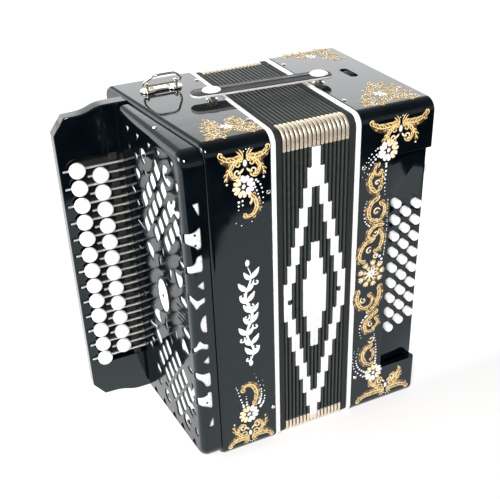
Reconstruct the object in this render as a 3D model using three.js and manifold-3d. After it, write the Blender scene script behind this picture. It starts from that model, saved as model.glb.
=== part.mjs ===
// A small folk button accordion standing on its long bottom faces, bellows closed.
// Units are millimetres. +X runs along the bellows from the treble side to the bass side,
// -Y is the side with the decorated front faces, +Z is up.
// The origin is the middle of the footprint, on the surface that the instrument stands on.
import * as THREE from "three";
import { mergeVertices } from "three/addons/utils/BufferGeometryUtils.js";
import Module from "manifold-3d";

const wasm = await Module();
wasm.setup();

// ---- driving dimensions ------------------------------------------------------------------
const HEIGHT = 340; // along the button rows
const DEPTH = 194.6; // front face to back face
const HALF_DEPTH = DEPTH / 2;
const MID_Z = HEIGHT / 2;
const CORNER_RADIUS = 12; // the casings' four long edges
const WALL = 6; // casing wall
const GAP = 0.3; // air left between pieces that touch

const BELLOWS_X = 25; // the middle plane of the closed bellows
const FOLD_COUNT = 16;
const FOLD_PITCH = 4.125;
const FOLD_RIDGE = 1.5; // how far the folds' ridges sit inside the casing outline
const FOLD_VALLEY = 10;
const FOLD_BORE = 16; // inner side of the folded board
const RING_FOLDS = [3, 3, 4, 3, 3]; // folds in each moving stretch of the bellows

const END_FRONT_X = -79.5; // slanted treble end, at the front face
const END_BACK_X = -105.9; // the same end, at the back face
const TRIM_WIDTH = 6.5; // pale band beside each casing
const STRIP_WIDTH = 4.7; // dark end strip of the bellows frame
const BASS_END_X = 147.5;

const KEY_PITCH = 18.35;
const OUTER_ROW = { x: -155.4, count: 13, palletY: -38 };
const INNER_ROW = { x: -133.6, count: 12, palletY: 0 };
const BUTTON_RADIUS = 7.8;
const BUTTON_FACE_Y = 37.5;
const LEVER_FRONT_Y = 43;
const LEVER_BACK_Y = 45.4;
const LEVER_HALF_WIDTH = 1;
const PIVOT = { x: -105.5, y: 47.3 };
const AXLE_RADIUS = 1;

const BOARD_FRONT_Y = 45;
const BOARD_BACK_Y = 60;
const BOARD_TIP_X = -171.5;
const RECESS = { x: -157, floorY: 52.5, low: 50, high: 290 };

const COVER_FRONT_Y = -96;
const COVER_BACK_Y = 43;
const COVER_WALL = 2.5;
const COVER_LOW = 3;
const COVER_HIGH = 336;

const BASS_RECESS = { x: 104, low: 49.3, high: 293.7, floorY: -88 };
const BASS_PITCH = 18.1;
const BASS_COLUMNS = [
  { x: 115.3, topZ: 239.2, count: 9 },
  { x: 127.2, topZ: 227.6, count: 8 },
  { x: 139.1, topZ: 233.7, count: 8 },
];
const BASS_BUTTON_RADIUS = 4.5;
const BASS_BUTTON_TOP_Y = -94.5;

const TREBLE_STUD = { x: -30.5, y: 2.2 };
const BASS_STUD = { x: 76.6, y: -6.1 };
const STUD_TOP = HEIGHT + 5.7;
const BRACKET = { x: -62, y: 52, pinZ: HEIGHT + 5.5 };
const ADJUSTER = { x: 117, y: 5.5, z: 327.5, radius: 14 };
const AIR_BUTTON = { y: -72, z: 262 };

// ---- materials ---------------------------------------------------------------------------
const paint = (color, roughness, metalness = 0) =>
  new THREE.MeshStandardMaterial({ color, roughness, metalness });
const lacquer = paint(0x14181c, 0.12);
const pearl = paint(0xf4f2ec, 0.25);
const nickel = paint(0xc9c6be, 0.25, 1);
const steel = paint(0x9a9a98, 0.35, 1);
const celluloid = paint(0xf2f1ee, 0.3);
const bellowsCloth = paint(0x20302a, 0.7);
const leather = paint(0x2b2c2e, 0.6);
const silverCloth = paint(0xd8d8d6, 0.5, 0.4);
const spruce = paint(0xc79a63, 0.7);
const felt = paint(0x5a5148, 0.95);

// ---- solids ------------------------------------------------------------------------------
function toSolid(geometry) {
  const plain = new THREE.BufferGeometry();
  const source = geometry.index ? geometry.toNonIndexed() : geometry;
  plain.setAttribute("position", source.getAttribute("position").clone());
  const merged = mergeVertices(plain, 1e-4);
  return new wasm.Manifold(
    new wasm.Mesh({
      numProp: 3,
      vertProperties: merged.attributes.position.array,
      triVerts: new Uint32Array(merged.index.array),
    }),
  );
}

const accordion = new THREE.Group();
accordion.name = "button_accordion";

function place(name, solid, material) {
  const data = solid.getMesh();
  const geometry = new THREE.BufferGeometry();
  geometry.setAttribute("position", new THREE.BufferAttribute(data.vertProperties, 3));
  geometry.setIndex(new THREE.BufferAttribute(data.triVerts, 1));
  geometry.computeVertexNormals();
  const mesh = new THREE.Mesh(geometry, material);
  mesh.name = name;
  accordion.add(mesh);
}

const join = (...solids) => solids.reduce((sum, one) => sum.add(one));
const cut = (body, ...tools) => tools.reduce((left, tool) => left.subtract(tool), body);

function block(x0, x1, y0, y1, z0, z1) {
  const geometry = new THREE.BoxGeometry(x1 - x0, y1 - y0, z1 - z0);
  geometry.translate((x0 + x1) / 2, (y0 + y1) / 2, (z0 + z1) / 2);
  return toSolid(geometry);
}

function extrude(shape, length, curveSegments) {
  return new THREE.ExtrudeGeometry(shape, { depth: length, bevelEnabled: false, curveSegments });
}

// A shape drawn in (x, y), standing from z0 to z1.
function prismZ(shape, z0, z1, curveSegments = 2) {
  const geometry = extrude(shape, z1 - z0, curveSegments);
  geometry.translate(0, 0, z0);
  return toSolid(geometry);
}

// A shape drawn in (y, z), running from x0 to x1.
function prismX(shape, x0, x1, curveSegments = 2) {
  const geometry = extrude(shape, x1 - x0, curveSegments);
  const axes = new THREE.Matrix4().makeBasis(
    new THREE.Vector3(0, 1, 0),
    new THREE.Vector3(0, 0, 1),
    new THREE.Vector3(1, 0, 0),
  );
  geometry.applyMatrix4(axes);
  geometry.translate(x0, 0, 0);
  return toSolid(geometry);
}

// A shape drawn in (x, z), running from y0 to y1.
function prismY(shape, y0, y1, curveSegments = 2) {
  const geometry = extrude(shape, y1 - y0, curveSegments);
  geometry.rotateX(Math.PI / 2);
  geometry.translate(0, y1, 0);
  return toSolid(geometry);
}

function polygon(points) {
  return new THREE.Shape(points.map(([u, v]) => new THREE.Vector2(u, v)));
}

function roundedRect(u0, v0, u1, v1, radius) {
  const shape = new THREE.Shape();
  shape.moveTo(u0 + radius, v0);
  shape.lineTo(u1 - radius, v0);
  shape.absarc(u1 - radius, v0 + radius, radius, -Math.PI / 2, 0);
  shape.lineTo(u1, v1 - radius);
  shape.absarc(u1 - radius, v1 - radius, radius, 0, Math.PI / 2);
  shape.lineTo(u0 + radius, v1);
  shape.absarc(u0 + radius, v1 - radius, radius, Math.PI / 2, Math.PI);
  shape.lineTo(u0, v0 + radius);
  shape.absarc(u0 + radius, v0 + radius, radius, Math.PI, Math.PI * 1.5);
  return shape;
}

// The outline shared by both casings and the bellows, shrunk evenly by inset.
function outline(inset = 0) {
  const radius = Math.max(CORNER_RADIUS - inset, 2);
  return roundedRect(-HALF_DEPTH + inset, inset, HALF_DEPTH - inset, HEIGHT - inset, radius);
}

// A round bar between two points.
function rod(from, to, radius, sides = 8) {
  const start = new THREE.Vector3(...from);
  const span = new THREE.Vector3(...to).sub(start);
  const geometry = new THREE.CylinderGeometry(radius, radius, span.length(), sides);
  geometry.translate(0, span.length() / 2, 0);
  const turn = new THREE.Quaternion().setFromUnitVectors(
    new THREE.Vector3(0, 1, 0),
    span.normalize(),
  );
  geometry.applyQuaternion(turn);
  geometry.translate(start.x, start.y, start.z);
  return toSolid(geometry);
}

// ---- the slanted treble end --------------------------------------------------------------
function endX(y) {
  return END_FRONT_X + ((END_BACK_X - END_FRONT_X) * (y + HALF_DEPTH)) / DEPTH;
}

const REACH = 120;

// Everything on the outer side of the slanted end, moved inwards (+X) by shift.
function outsideEnd(shift) {
  const edge = [
    [endX(-REACH) + shift, -REACH],
    [endX(REACH) + shift, REACH],
    [-220, REACH],
    [-220, -REACH],
  ];
  return prismZ(polygon(edge), -10, HEIGHT + 30);
}

function insideEnd(shift) {
  const edge = [
    [endX(-REACH) + shift, -REACH],
    [0, -REACH],
    [0, REACH],
    [endX(REACH) + shift, REACH],
  ];
  return prismZ(polygon(edge), -10, HEIGHT + 30);
}

// Heights of the keys of one row, top key first.
function keyHeights(row) {
  return Array.from(
    { length: row.count },
    (_, k) => MID_Z + KEY_PITCH * ((row.count - 1) / 2 - k),
  );
}

const keys = [OUTER_ROW, INNER_ROW].flatMap((row, index) =>
  keyHeights(row).map((z, k) => ({
    row,
    z,
    name: (index === 0 ? "outer_key_" : "inner_key_") + String(k + 1).padStart(2, "0"),
  })),
);

const TREBLE_INNER_X = BELLOWS_X - (FOLD_COUNT * FOLD_PITCH) / 2 - STRIP_WIDTH - TRIM_WIDTH;
const BASS_INNER_X = 2 * BELLOWS_X - TREBLE_INNER_X;

function makeTrebleCasing() {
  const body = prismX(outline(), END_BACK_X - 5, TREBLE_INNER_X - GAP);
  const room = [
    [endX(-HALF_DEPTH + WALL) + WALL, -HALF_DEPTH + WALL],
    [0, -HALF_DEPTH + WALL],
    [0, HALF_DEPTH - WALL],
    [endX(HALF_DEPTH - WALL) + WALL, HALF_DEPTH - WALL],
  ];
  const hollow = prismZ(polygon(room), WALL, HEIGHT - WALL);
  const airHoles = keys.map(({ row, z }) =>
    block(endX(row.palletY) - 5, endX(row.palletY) + 12, row.palletY - 7, row.palletY + 7, z - 3.5, z + 3.5),
  );
  const stud = rod([TREBLE_STUD.x, TREBLE_STUD.y, HEIGHT - 3], [TREBLE_STUD.x, TREBLE_STUD.y, STUD_TOP], 5, 12);
  place("treble_casing", join(cut(body, outsideEnd(0), hollow, ...airHoles), stud), lacquer);
}

// Two blocks that stand on the inside of the slanted end, over its air holes, with reed chambers.
function makeTrebleReedBlocks() {
  const names = { treble_reed_block_outer: OUTER_ROW, treble_reed_block_inner: INNER_ROW };
  for (const [name, row] of Object.entries(names)) {
    const half = 13;
    const body = block(-95, -40, row.palletY - half, row.palletY + half, 30, 310);
    const chambers = keyHeights(row).map((z) =>
      block(-72, -44, row.palletY + half - 8, row.palletY + half + 1, z - 6, z + 6),
    );
    place(name, cut(body, outsideEnd(WALL + GAP), ...chambers), spruce);
  }
}

// Half of the fingerboard's edge, from the outer tip to the casing, as heights above mid height.
function boardShape() {
  const right = -95;
  const shape = new THREE.Shape();
  const draw = (side) => {
    const at = (x, rise) => [x, MID_Z + side * rise];
    return { at };
  };
  const top = draw(1).at;
  const bottom = draw(-1).at;
  shape.moveTo(...bottom(right, 168));
  shape.lineTo(...bottom(-119, 168));
  shape.bezierCurveTo(...bottom(-134, 168), ...bottom(-134, 161.8), ...bottom(-151, 161.8));
  shape.lineTo(...bottom(-160, 161.5));
  shape.lineTo(...bottom(BOARD_TIP_X, 146));
  shape.lineTo(...top(BOARD_TIP_X, 146));
  shape.lineTo(...top(-160, 161.5));
  shape.lineTo(...top(-151, 161.8));
  shape.bezierCurveTo(...top(-134, 161.8), ...top(-134, 168), ...top(-119, 168));
  shape.lineTo(...top(right, 168));
  return shape;
}

function makeFingerboard() {
  const plate = prismY(boardShape(), BOARD_FRONT_Y, BOARD_BACK_Y, 5);
  const heelEdge = [
    [-134, BOARD_BACK_Y - 1],
    [-90, BOARD_BACK_Y - 1],
    [-90, 88],
    [-112, 88],
  ];
  const heel = prismZ(polygon(heelEdge), 22, HEIGHT - 22);
  const front = BOARD_FRONT_Y - 1;
  const recess = block(RECESS.x, -90, front, RECESS.floorY, RECESS.low, RECESS.high);
  const scallops = keyHeights(OUTER_ROW).map((z) =>
    rod([OUTER_ROW.x, front, z], [OUTER_ROW.x, RECESS.floorY, z], BUTTON_RADIUS + 1.6, 8),
  );
  const notches = keyHeights(OUTER_ROW).map((z) =>
    block(-169.6, RECESS.x + 1, front, RECESS.floorY, z - 1.6, z + 1.6),
  );
  const sockets = rod([PIVOT.x, PIVOT.y, RECESS.low - 5.5], [PIVOT.x, PIVOT.y, RECESS.high + 5.5], AXLE_RADIUS + 0.35);
  const body = cut(join(plate, heel), recess, sockets, ...scallops, ...notches);
  place("fingerboard", cut(body, insideEnd(-GAP)), lacquer);
}

function makeLeverComb() {
  const bar = block(-122, -114, BOARD_FRONT_Y - 0.4, RECESS.floorY - GAP, RECESS.low + 0.5, RECESS.high - 0.5);
  const slots = keys.map(({ z }) => block(-123, -113, BOARD_FRONT_Y - 3, RECESS.floorY - 2, z - 1.5, z + 1.5));
  place("lever_comb", cut(bar, ...slots), felt);
}

function makeLeverAxle() {
  const axle = rod([PIVOT.x, PIVOT.y, RECESS.low - 5], [PIVOT.x, PIVOT.y, RECESS.high + 5], AXLE_RADIUS);
  place("lever_axle", axle, steel);
}

// A key is a button on a bent lever that lifts a pallet off its air hole in the slanted end.
function makeKey({ row, z, name }) {
  const palletHalf = 10;
  const stubX = row === OUTER_ROW ? row.x - 13 : row.x - 12;
  const tipY = row.palletY - palletHalf;
  const lever = polygon([
    [stubX, LEVER_FRONT_Y],
    [PIVOT.x - 3, LEVER_FRONT_Y],
    [endX(40) - 6, 40],
    [endX(tipY) - 6, tipY],
    [endX(tipY) - 3.4, tipY],
    [endX(42) - 3.4, 42],
    [PIVOT.x + 3.2, PIVOT.y + 1],
    [PIVOT.x, PIVOT.y + 3],
    [PIVOT.x - 4, LEVER_BACK_Y],
    [stubX, LEVER_BACK_Y],
  ]);
  const pallet = polygon([
    [endX(row.palletY + palletHalf) - 0.4, row.palletY + palletHalf],
    [endX(row.palletY + palletHalf) - 3.9, row.palletY + palletHalf],
    [endX(tipY) - 3.9, tipY],
    [endX(tipY) - 0.4, tipY],
  ]);
  const bore = rod([PIVOT.x, PIVOT.y, z - 3], [PIVOT.x, PIVOT.y, z + 3], AXLE_RADIUS + 0.5, 6);
  const button = rod([row.x, LEVER_FRONT_Y + 0.2, z], [row.x, BUTTON_FACE_Y, z], BUTTON_RADIUS, 12);
  const arm = cut(prismZ(lever, z - LEVER_HALF_WIDTH, z + LEVER_HALF_WIDTH), bore);
  place(name, join(arm, prismZ(pallet, z - 6, z + 6), button), pearl);
}

// ---- pierced cover over the pallets ------------------------------------------------------
const COVER_OUTER_FRONT_X = -100.3;
const COVER_OUTER_BACK_X = -111.3;

// The space inside the cover's outline shrunk by inset; the side towards the casing end runs past it.
function coverSpace(inset) {
  const slope = (COVER_OUTER_BACK_X - COVER_OUTER_FRONT_X) / (COVER_BACK_Y + 90);
  const back = inset ? COVER_BACK_Y + 5 : COVER_BACK_Y;
  const plan = polygon([
    [-70, COVER_FRONT_Y + inset],
    [-94.5 + inset / 2, COVER_FRONT_Y + inset],
    [-98.6 + inset * 0.75, COVER_FRONT_Y + 2 + inset * 0.75],
    [COVER_OUTER_FRONT_X + inset, -90],
    [COVER_OUTER_FRONT_X + inset + slope * (back + 90), back],
    [-70, back],
  ]);
  const radius = 14 - inset;
  const side = new THREE.Shape();
  const front = COVER_FRONT_Y + inset;
  const low = COVER_LOW + inset;
  const high = COVER_HIGH - inset;
  side.moveTo(back + 1, low);
  side.lineTo(back + 1, high);
  side.lineTo(front + radius, high);
  side.absarc(front + radius, high - radius, radius, Math.PI / 2, Math.PI);
  side.lineTo(front, low + radius);
  side.absarc(front + radius, low + radius, radius, Math.PI, Math.PI * 1.5);
  return prismZ(plan, low, high).intersect(prismX(side, -130, -60, 2));
}

function makeGrilleCover() {
  const shell = cut(coverSpace(0), coverSpace(COVER_WALL), insideEnd(-0.4));
  const openings = [];
  const rows = 8;
  for (let row = 0; row < rows; row++) {
    const z = 30 + (row * (COVER_HIGH - COVER_LOW - 54)) / (rows - 1);
    for (let column = 0; column < 4; column++) {
      const y = -72 + column * 29 + (row % 2) * 6;
      const slot = polygon([
        [y - 9, z - 11],
        [y + 5, z - 15],
        [y + 9, z + 11],
        [y - 5, z + 15],
      ]);
      openings.push(prismX(slot, -125, -96));
    }
  }
  const stripX = -89;
  for (let k = 0; k < 7; k++) {
    const z = 62 + k * 30;
    const diamond = polygon([
      [stripX, z - 7],
      [stripX + 4, z],
      [stripX, z + 7],
      [stripX - 4, z],
    ]);
    openings.push(prismY(diamond, -99, -92));
  }
  place("grille_cover", cut(shell, ...openings), lacquer);
}

function makeGrilleBacking() {
  const outer = coverSpace(COVER_WALL + GAP);
  const inner = coverSpace(COVER_WALL + GAP + 0.7);
  const trims = [
    insideEnd(-2),
    block(-130, -60, COVER_BACK_Y - 1, COVER_BACK_Y + 20, -1, HEIGHT + 20),
    block(-130, -60, -120, 80, -1, 20),
    block(-130, -60, -120, 80, HEIGHT - 24, HEIGHT + 20),
  ];
  place("grille_backing", cut(outer, inner, ...trims), silverCloth);
}

// ---- bellows -----------------------------------------------------------------------------
function ring(x0, x1, inset, bore) {
  const hole = roundedRect(-HALF_DEPTH + bore, bore, HALF_DEPTH - bore, HEIGHT - bore, 4);
  return cut(prismX(outline(inset), x0, x1), prismX(hole, x0 - 1, x1 + 1, 1));
}

function makeBellowsFrames() {
  const trebleStripX = TREBLE_INNER_X + TRIM_WIDTH;
  const bassStripX = BASS_INNER_X - TRIM_WIDTH;
  const treble = join(
    ring(TREBLE_INNER_X, trebleStripX, 0, 14),
    ring(trebleStripX - 0.1, trebleStripX + STRIP_WIDTH - GAP, 1.5, 14),
  );
  const bass = join(
    ring(bassStripX, BASS_INNER_X, 0, 14),
    ring(bassStripX - STRIP_WIDTH + GAP, bassStripX + 0.1, 1.5, 14),
  );
  place("treble_bellows_frame", treble, celluloid);
  place("bass_bellows_frame", bass, celluloid);
}

function loop(inset) {
  const points = outline(inset).extractPoints(2).shape;
  return points.filter((p, i) => i === 0 || p.distanceTo(points[i - 1]) > 1e-3);
}

// A stretch of folded board: its outside zigzags between ridges and valleys.
function foldedRing(x0, folds, pitch) {
  const stations = [];
  for (let k = 0; k <= 2 * folds; k++)
    stations.push([x0 + (k * pitch) / 2, k % 2 ? FOLD_RIDGE : FOLD_VALLEY]);
  stations.push([x0 + folds * pitch, FOLD_BORE], [x0, FOLD_BORE]);
  const loops = stations.map(([x, inset]) => loop(inset).map((p) => [x, p.x, p.y]));
  const count = loops[0].length;
  const positions = [];
  loops.forEach((here, i) => {
    const next = loops[(i + 1) % loops.length];
    for (let j = 0; j < count; j++) {
      const k = (j + 1) % count;
      positions.push(...here[j], ...here[k], ...next[k]);
      positions.push(...here[j], ...next[k], ...next[j]);
    }
  });
  const geometry = new THREE.BufferGeometry();
  geometry.setAttribute("position", new THREE.Float32BufferAttribute(positions, 3));
  const solid = toSolid(geometry);
  return solid;
}

function makeBellows() {
  let x = BELLOWS_X - (FOLD_COUNT * FOLD_PITCH) / 2;
  RING_FOLDS.forEach((folds, index) => {
    const length = folds * FOLD_PITCH - GAP;
    place("bellows_folds_" + (index + 1), foldedRing(x + GAP / 2, folds, length / folds), bellowsCloth);
    x += folds * FOLD_PITCH;
  });
}

// ---- bass side ---------------------------------------------------------------------------
const MECHANISM_X = 103; // bass side of the partition that closes the air chamber
const END_PANEL_X = BASS_END_X - 6;

function makeBassCasing() {
  const body = prismX(outline(), BASS_INNER_X + GAP, BASS_END_X);
  const inner = [-HALF_DEPTH + WALL, HALF_DEPTH - WALL, WALL, HEIGHT - WALL];
  const airChamber = block(60, MECHANISM_X - 3, ...inner);
  const mechanismRoom = block(MECHANISM_X, BASS_END_X + 5, ...inner);
  const { x, low, high } = BASS_RECESS;
  const window = block(x, BASS_END_X + 5, -HALF_DEPTH - 1, -HALF_DEPTH + WALL + 1, low, high);
  const ledge = (...ends) => block(ends[0], ends[1], -HALF_DEPTH + WALL - 1, -84, ends[2], ends[3]);
  const ledges = [
    ledge(MECHANISM_X - 1, x, low - 5, high + 5),
    ledge(MECHANISM_X - 1, END_PANEL_X - GAP, high, high + 5),
    ledge(MECHANISM_X - 1, END_PANEL_X - GAP, low - 5, low),
  ];
  const wheelSlot = block(ADJUSTER.x - 4.5, ADJUSTER.x + 4.5, ADJUSTER.y - 13.5, ADJUSTER.y + 13.5, 330, 345);
  const lugs = [-6.75, 6.75].map((offset) =>
    block(ADJUSTER.x + offset - 1.25, ADJUSTER.x + offset + 1.25, ADJUSTER.y - 5, ADJUSTER.y + 5, 322, 335),
  );
  const lugBore = rod([ADJUSTER.x - 12, ADJUSTER.y, ADJUSTER.z], [ADJUSTER.x + 12, ADJUSTER.y, ADJUSTER.z], 2.9, 10);
  const stud = rod([BASS_STUD.x, BASS_STUD.y, HEIGHT - 3], [BASS_STUD.x, BASS_STUD.y, STUD_TOP], 5, 12);
  const airHoles = [-40, 0, 40].map((y) => block(MECHANISM_X - 5, MECHANISM_X + 1, y - 6, y + 6, 60, 90));
  const shell = cut(body, airChamber, mechanismRoom, window, wheelSlot, ...airHoles);
  place("bass_casing", join(cut(join(shell, ...ledges, ...lugs), lugBore), stud), lacquer);
}

function makeBassEndCover() {
  const edge = -HALF_DEPTH + WALL + GAP;
  const panel = block(END_PANEL_X, BASS_END_X - GAP, edge, -edge, WALL + GAP, HEIGHT - WALL - GAP);
  const notch = block(END_PANEL_X - 5, BASS_END_X + 5, -100, -83.7, BASS_RECESS.low - 0.3, BASS_RECESS.high + 0.3);
  const rowPocket = block(END_PANEL_X - 5, BASS_END_X - 2.7, -100, -73, BASS_RECESS.low - 0.3, BASS_RECESS.high + 0.3);
  const feet = [];
  for (const y of [-84, 84])
    for (const z of [34, 324]) feet.push(rod([BASS_END_X - 2, y, z], [BASS_END_X + 4.5, y, z], 5.5, 12));
  const bore = rod([130, AIR_BUTTON.y, AIR_BUTTON.z], [160, AIR_BUTTON.y, AIR_BUTTON.z], 3.4);
  place("bass_end_cover", join(cut(panel, notch, rowPocket, bore), ...feet), lacquer);
}

function bassButtons() {
  return BASS_COLUMNS.map(({ x, topZ, count }) =>
    Array.from({ length: count }, (_, k) => [x, topZ - k * BASS_PITCH]),
  );
}

function makeBassButtonPlate() {
  const { x, low, high, floorY } = BASS_RECESS;
  const plate = block(x + GAP, BASS_END_X - GAP, floorY, -84.3, low + GAP, high - GAP);
  const bores = bassButtons()
    .flat()
    .map(([bx, bz]) => rod([bx, floorY - 1, bz], [bx, -83, bz], BASS_BUTTON_RADIUS + 1.1, 6));
  place("bass_button_plate", cut(plate, ...bores), lacquer);
}

// The first column's button k + 1 and the other two columns' button k lie on one slanting line,
// and share a bar behind the plate; the first column's top button has a short bar of its own.
function makeBassRows() {
  const [first, second, third] = bassButtons();
  first.forEach((start, k) => {
    const members = k === 0 ? [start] : [start, second[k - 1], third[k - 1]];
    const buttons = members.map(([x, z]) => rod([x, -80.5, z], [x, BASS_BUTTON_TOP_Y, z], BASS_BUTTON_RADIUS, 8));
    const [x0, z0] = members[0];
    const [x1, z1] = k === 0 ? [x0 + 8, z0 + 4] : members[2];
    const bar = polygon([
      [x0 - 2, z0 - 3],
      [x1 + 2, z1 - 3],
      [x1 + 2, z1 + 3],
      [x0 - 2, z0 + 3],
    ]);
    place("bass_button_row_" + (k + 1), join(prismY(bar, -82.5, -79), ...buttons), pearl);
  });
}

function makeBassReedBlock() {
  const body = block(76, MECHANISM_X - 3 - GAP, -50, 50, 55, 285);
  const chambers = [];
  for (let k = 0; k < 8; k++) {
    const z = 75 + k * 27;
    chambers.push(block(79, 97, -51, -38, z - 9, z + 9));
    chambers.push(block(79, 97, 38, 51, z - 9, z + 9));
  }
  place("bass_reed_block", cut(body, ...chambers), spruce);
}

function makeAirButton() {
  const { y, z } = AIR_BUTTON;
  const stem = rod([136, y, z], [153, y, z], 2.5);
  const cap = rod([152.2, y, z], [156, y, z], 8, 16);
  const collar = rod([134, y, z], [137, y, z], 6, 10);
  place("air_button", join(stem, cap, collar), pearl);
}

function makeStrapAdjuster() {
  const { x, y, z, radius } = ADJUSTER;
  const wheel = rod([x - 3, y, z], [x + 3, y, z], radius, 24);
  const pin = rod([x - 7.5, y, z], [x + 7.5, y, z], 2.5, 10);
  place("strap_adjuster", join(wheel, pin), nickel);
}

// The left hand's strap: a bowed leather band over the bass end.
function makeHandStrap() {
  const steps = 14;
  const low = 14;
  const high = HEIGHT - 14;
  const thickness = 3.5;
  const bow = 171.5 - BASS_END_X - GAP - thickness;
  const side = (shift) =>
    Array.from({ length: steps + 1 }, (_, k) => {
      const s = k / steps;
      return [BASS_END_X + GAP + shift + bow * Math.sin(Math.PI * s), low + (high - low) * s];
    });
  const shape = polygon([...side(thickness), ...side(0).reverse()]);
  place("hand_strap", prismY(shape, -23, 27), leather);
}

// ---- pieces on the top face --------------------------------------------------------------
function makeBellowsStrap() {
  const start = new THREE.Vector2(TREBLE_STUD.x, TREBLE_STUD.y);
  const end = new THREE.Vector2(BASS_STUD.x, BASS_STUD.y);
  const along = end.clone().sub(start);
  const length = along.length();
  const half = 10;
  const tail = 20;
  const tip = 12;
  const band = polygon([
    [-tail + 6, -half],
    [length + tip - 4, -half],
    [length + tip, -half + 5],
    [length + tip, half - 5],
    [length + tip - 4, half],
    [-tail + 6, half],
    [-tail, half - 6],
    [-tail, -half + 6],
  ]);
  const flat = extrude(band, 3.3, 1);
  flat.rotateZ(along.angle());
  flat.translate(start.x, start.y, STUD_TOP + GAP);
  const cap = (center) =>
    rod([center.x, center.y, STUD_TOP + 2], [center.x, center.y, STUD_TOP + 5.6], 8.8, 16);
  place("bellows_strap", join(toSolid(flat), cap(start), cap(end)), leather);
}

function makeShoulderBracket() {
  const { x, y, pinZ } = BRACKET;
  const plate = polygon([
    [x - 22, y],
    [x - 17, y - 8],
    [x - 10, y - 7],
    [x - 6, y - 4],
    [x + 6, y - 4],
    [x + 10, y - 7],
    [x + 17, y - 8],
    [x + 22, y],
    [x + 17, y + 8],
    [x - 17, y + 8],
  ]);
  const base = prismZ(plate, HEIGHT + GAP, HEIGHT + 2.3);
  const lugs = [-14.5, 14.5].map((offset) =>
    block(x + offset - 1.5, x + offset + 1.5, y - 3.5, y + 3.5, HEIGHT + 2, pinZ + 3.2),
  );
  const bore = rod([x - 25, y, pinZ], [x + 25, y, pinZ], 1.7);
  place("shoulder_bracket", cut(join(base, ...lugs), bore), nickel);
}

// A six-sided wire loop whose straight side is the pin in the bracket's lugs; it leans forward.
function makeShoulderBail() {
  const { x, y, pinZ } = BRACKET;
  const lean = THREE.MathUtils.degToRad(45);
  const wire = 2;
  const loopShape = (inset) => [
    [-19 + inset, -wire / 2 + inset],
    [-19.5 + inset, 8],
    [-11 + inset / 2, 21 - inset],
    [11 - inset / 2, 21 - inset],
    [19.5 - inset, 8],
    [19 - inset, -wire / 2 + inset],
  ];
  const layer = (inset, thickness) => {
    const flat = extrude(polygon(loopShape(inset)), thickness, 1);
    flat.translate(0, 0, -thickness / 2);
    flat.rotateX(Math.PI / 2 + lean);
    flat.translate(x, y, pinZ);
    return toSolid(flat);
  };
  place("shoulder_bail", cut(layer(0, wire), layer(wire, 2 * wire)), nickel);
}

makeTrebleCasing();
makeTrebleReedBlocks();
makeFingerboard();
makeLeverComb();
makeLeverAxle();
keys.forEach(makeKey);
makeGrilleCover();
makeGrilleBacking();
makeBellowsFrames();
makeBellows();
makeBassCasing();
makeBassEndCover();
makeBassButtonPlate();
makeBassRows();
makeBassReedBlock();
makeAirButton();
makeStrapAdjuster();
makeHandStrap();
makeBellowsStrap();
makeShoulderBracket();
makeShoulderBail();

export default accordion;
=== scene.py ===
import math
from contextlib import contextmanager

import bmesh
import bpy
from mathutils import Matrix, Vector


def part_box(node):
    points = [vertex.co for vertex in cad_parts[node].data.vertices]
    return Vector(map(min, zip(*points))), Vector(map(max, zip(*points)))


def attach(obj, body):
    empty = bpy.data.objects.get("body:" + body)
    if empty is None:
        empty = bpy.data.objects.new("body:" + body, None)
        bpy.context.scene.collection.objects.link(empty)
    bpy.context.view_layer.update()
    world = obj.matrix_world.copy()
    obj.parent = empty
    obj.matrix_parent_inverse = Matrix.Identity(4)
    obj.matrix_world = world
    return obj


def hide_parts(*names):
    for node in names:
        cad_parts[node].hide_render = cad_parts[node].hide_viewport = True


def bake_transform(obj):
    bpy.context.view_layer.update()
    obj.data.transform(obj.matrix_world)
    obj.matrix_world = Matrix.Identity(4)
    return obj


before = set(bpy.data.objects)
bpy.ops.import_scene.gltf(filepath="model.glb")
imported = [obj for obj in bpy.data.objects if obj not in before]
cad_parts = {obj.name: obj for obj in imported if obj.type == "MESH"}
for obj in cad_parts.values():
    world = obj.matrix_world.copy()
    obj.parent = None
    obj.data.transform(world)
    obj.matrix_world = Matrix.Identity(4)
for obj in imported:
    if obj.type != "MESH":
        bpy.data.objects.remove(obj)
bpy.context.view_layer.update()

# A small folk button accordion. Shapes are written in millimetres and scaled once, when a piece is made.
MM = 0.001

# ---- driving dimensions, in millimetres ----------------------------------------------------


def box_mm(node):
    low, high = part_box(node)
    return low / MM, high / MM


TREBLE_HIGH = box_mm("treble_casing")[1]
BASS_LOW, BASS_HIGH = box_mm("bass_casing")
BOARD_LOW = box_mm("fingerboard")[0]
COVER_LOW, COVER_HIGH = box_mm("grille_cover")
HALF_DEPTH = TREBLE_HIGH.y
HEIGHT = 340.0
MID_Z = HEIGHT / 2
CORNER = 12.0
WALL = 6.0
FRONT_Y = -HALF_DEPTH

BELLOWS_X = 25.0
FOLDS = 16
PITCH = 4.125
FIRST_FOLD_X = BELLOWS_X - FOLDS * PITCH / 2
RIDGE_INSET = 1.5
VALLEY_INSET = 10.0

KEY_PITCH = 18.35
OUTER_ROW = {"x": -155.4, "count": 13, "pallet_y": -38.0, "stub": 13.0, "name": "outer_key"}
INNER_ROW = {"x": -133.6, "count": 12, "pallet_y": 0.0, "stub": 12.0, "name": "inner_key"}
BUTTON_R = 7.8
PIVOT_X, PIVOT_Y = -105.5, 47.3
LEVER_FRONT_Y = 43.0
RECESS_X, RECESS_FLOOR_Y, RECESS_LOW, RECESS_HIGH = -157.0, 52.5, 50.0, 290.0

BASS_PITCH = 18.1
BASS_COLUMNS = ((115.3, 239.2, 9), (127.2, 227.6, 8), (139.1, 233.7, 8))
BASS_BUTTON_R = 4.5
BASS_RECESS = {"x": 104.0, "low": 49.3, "high": 293.7, "floor": -88.0}

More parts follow.
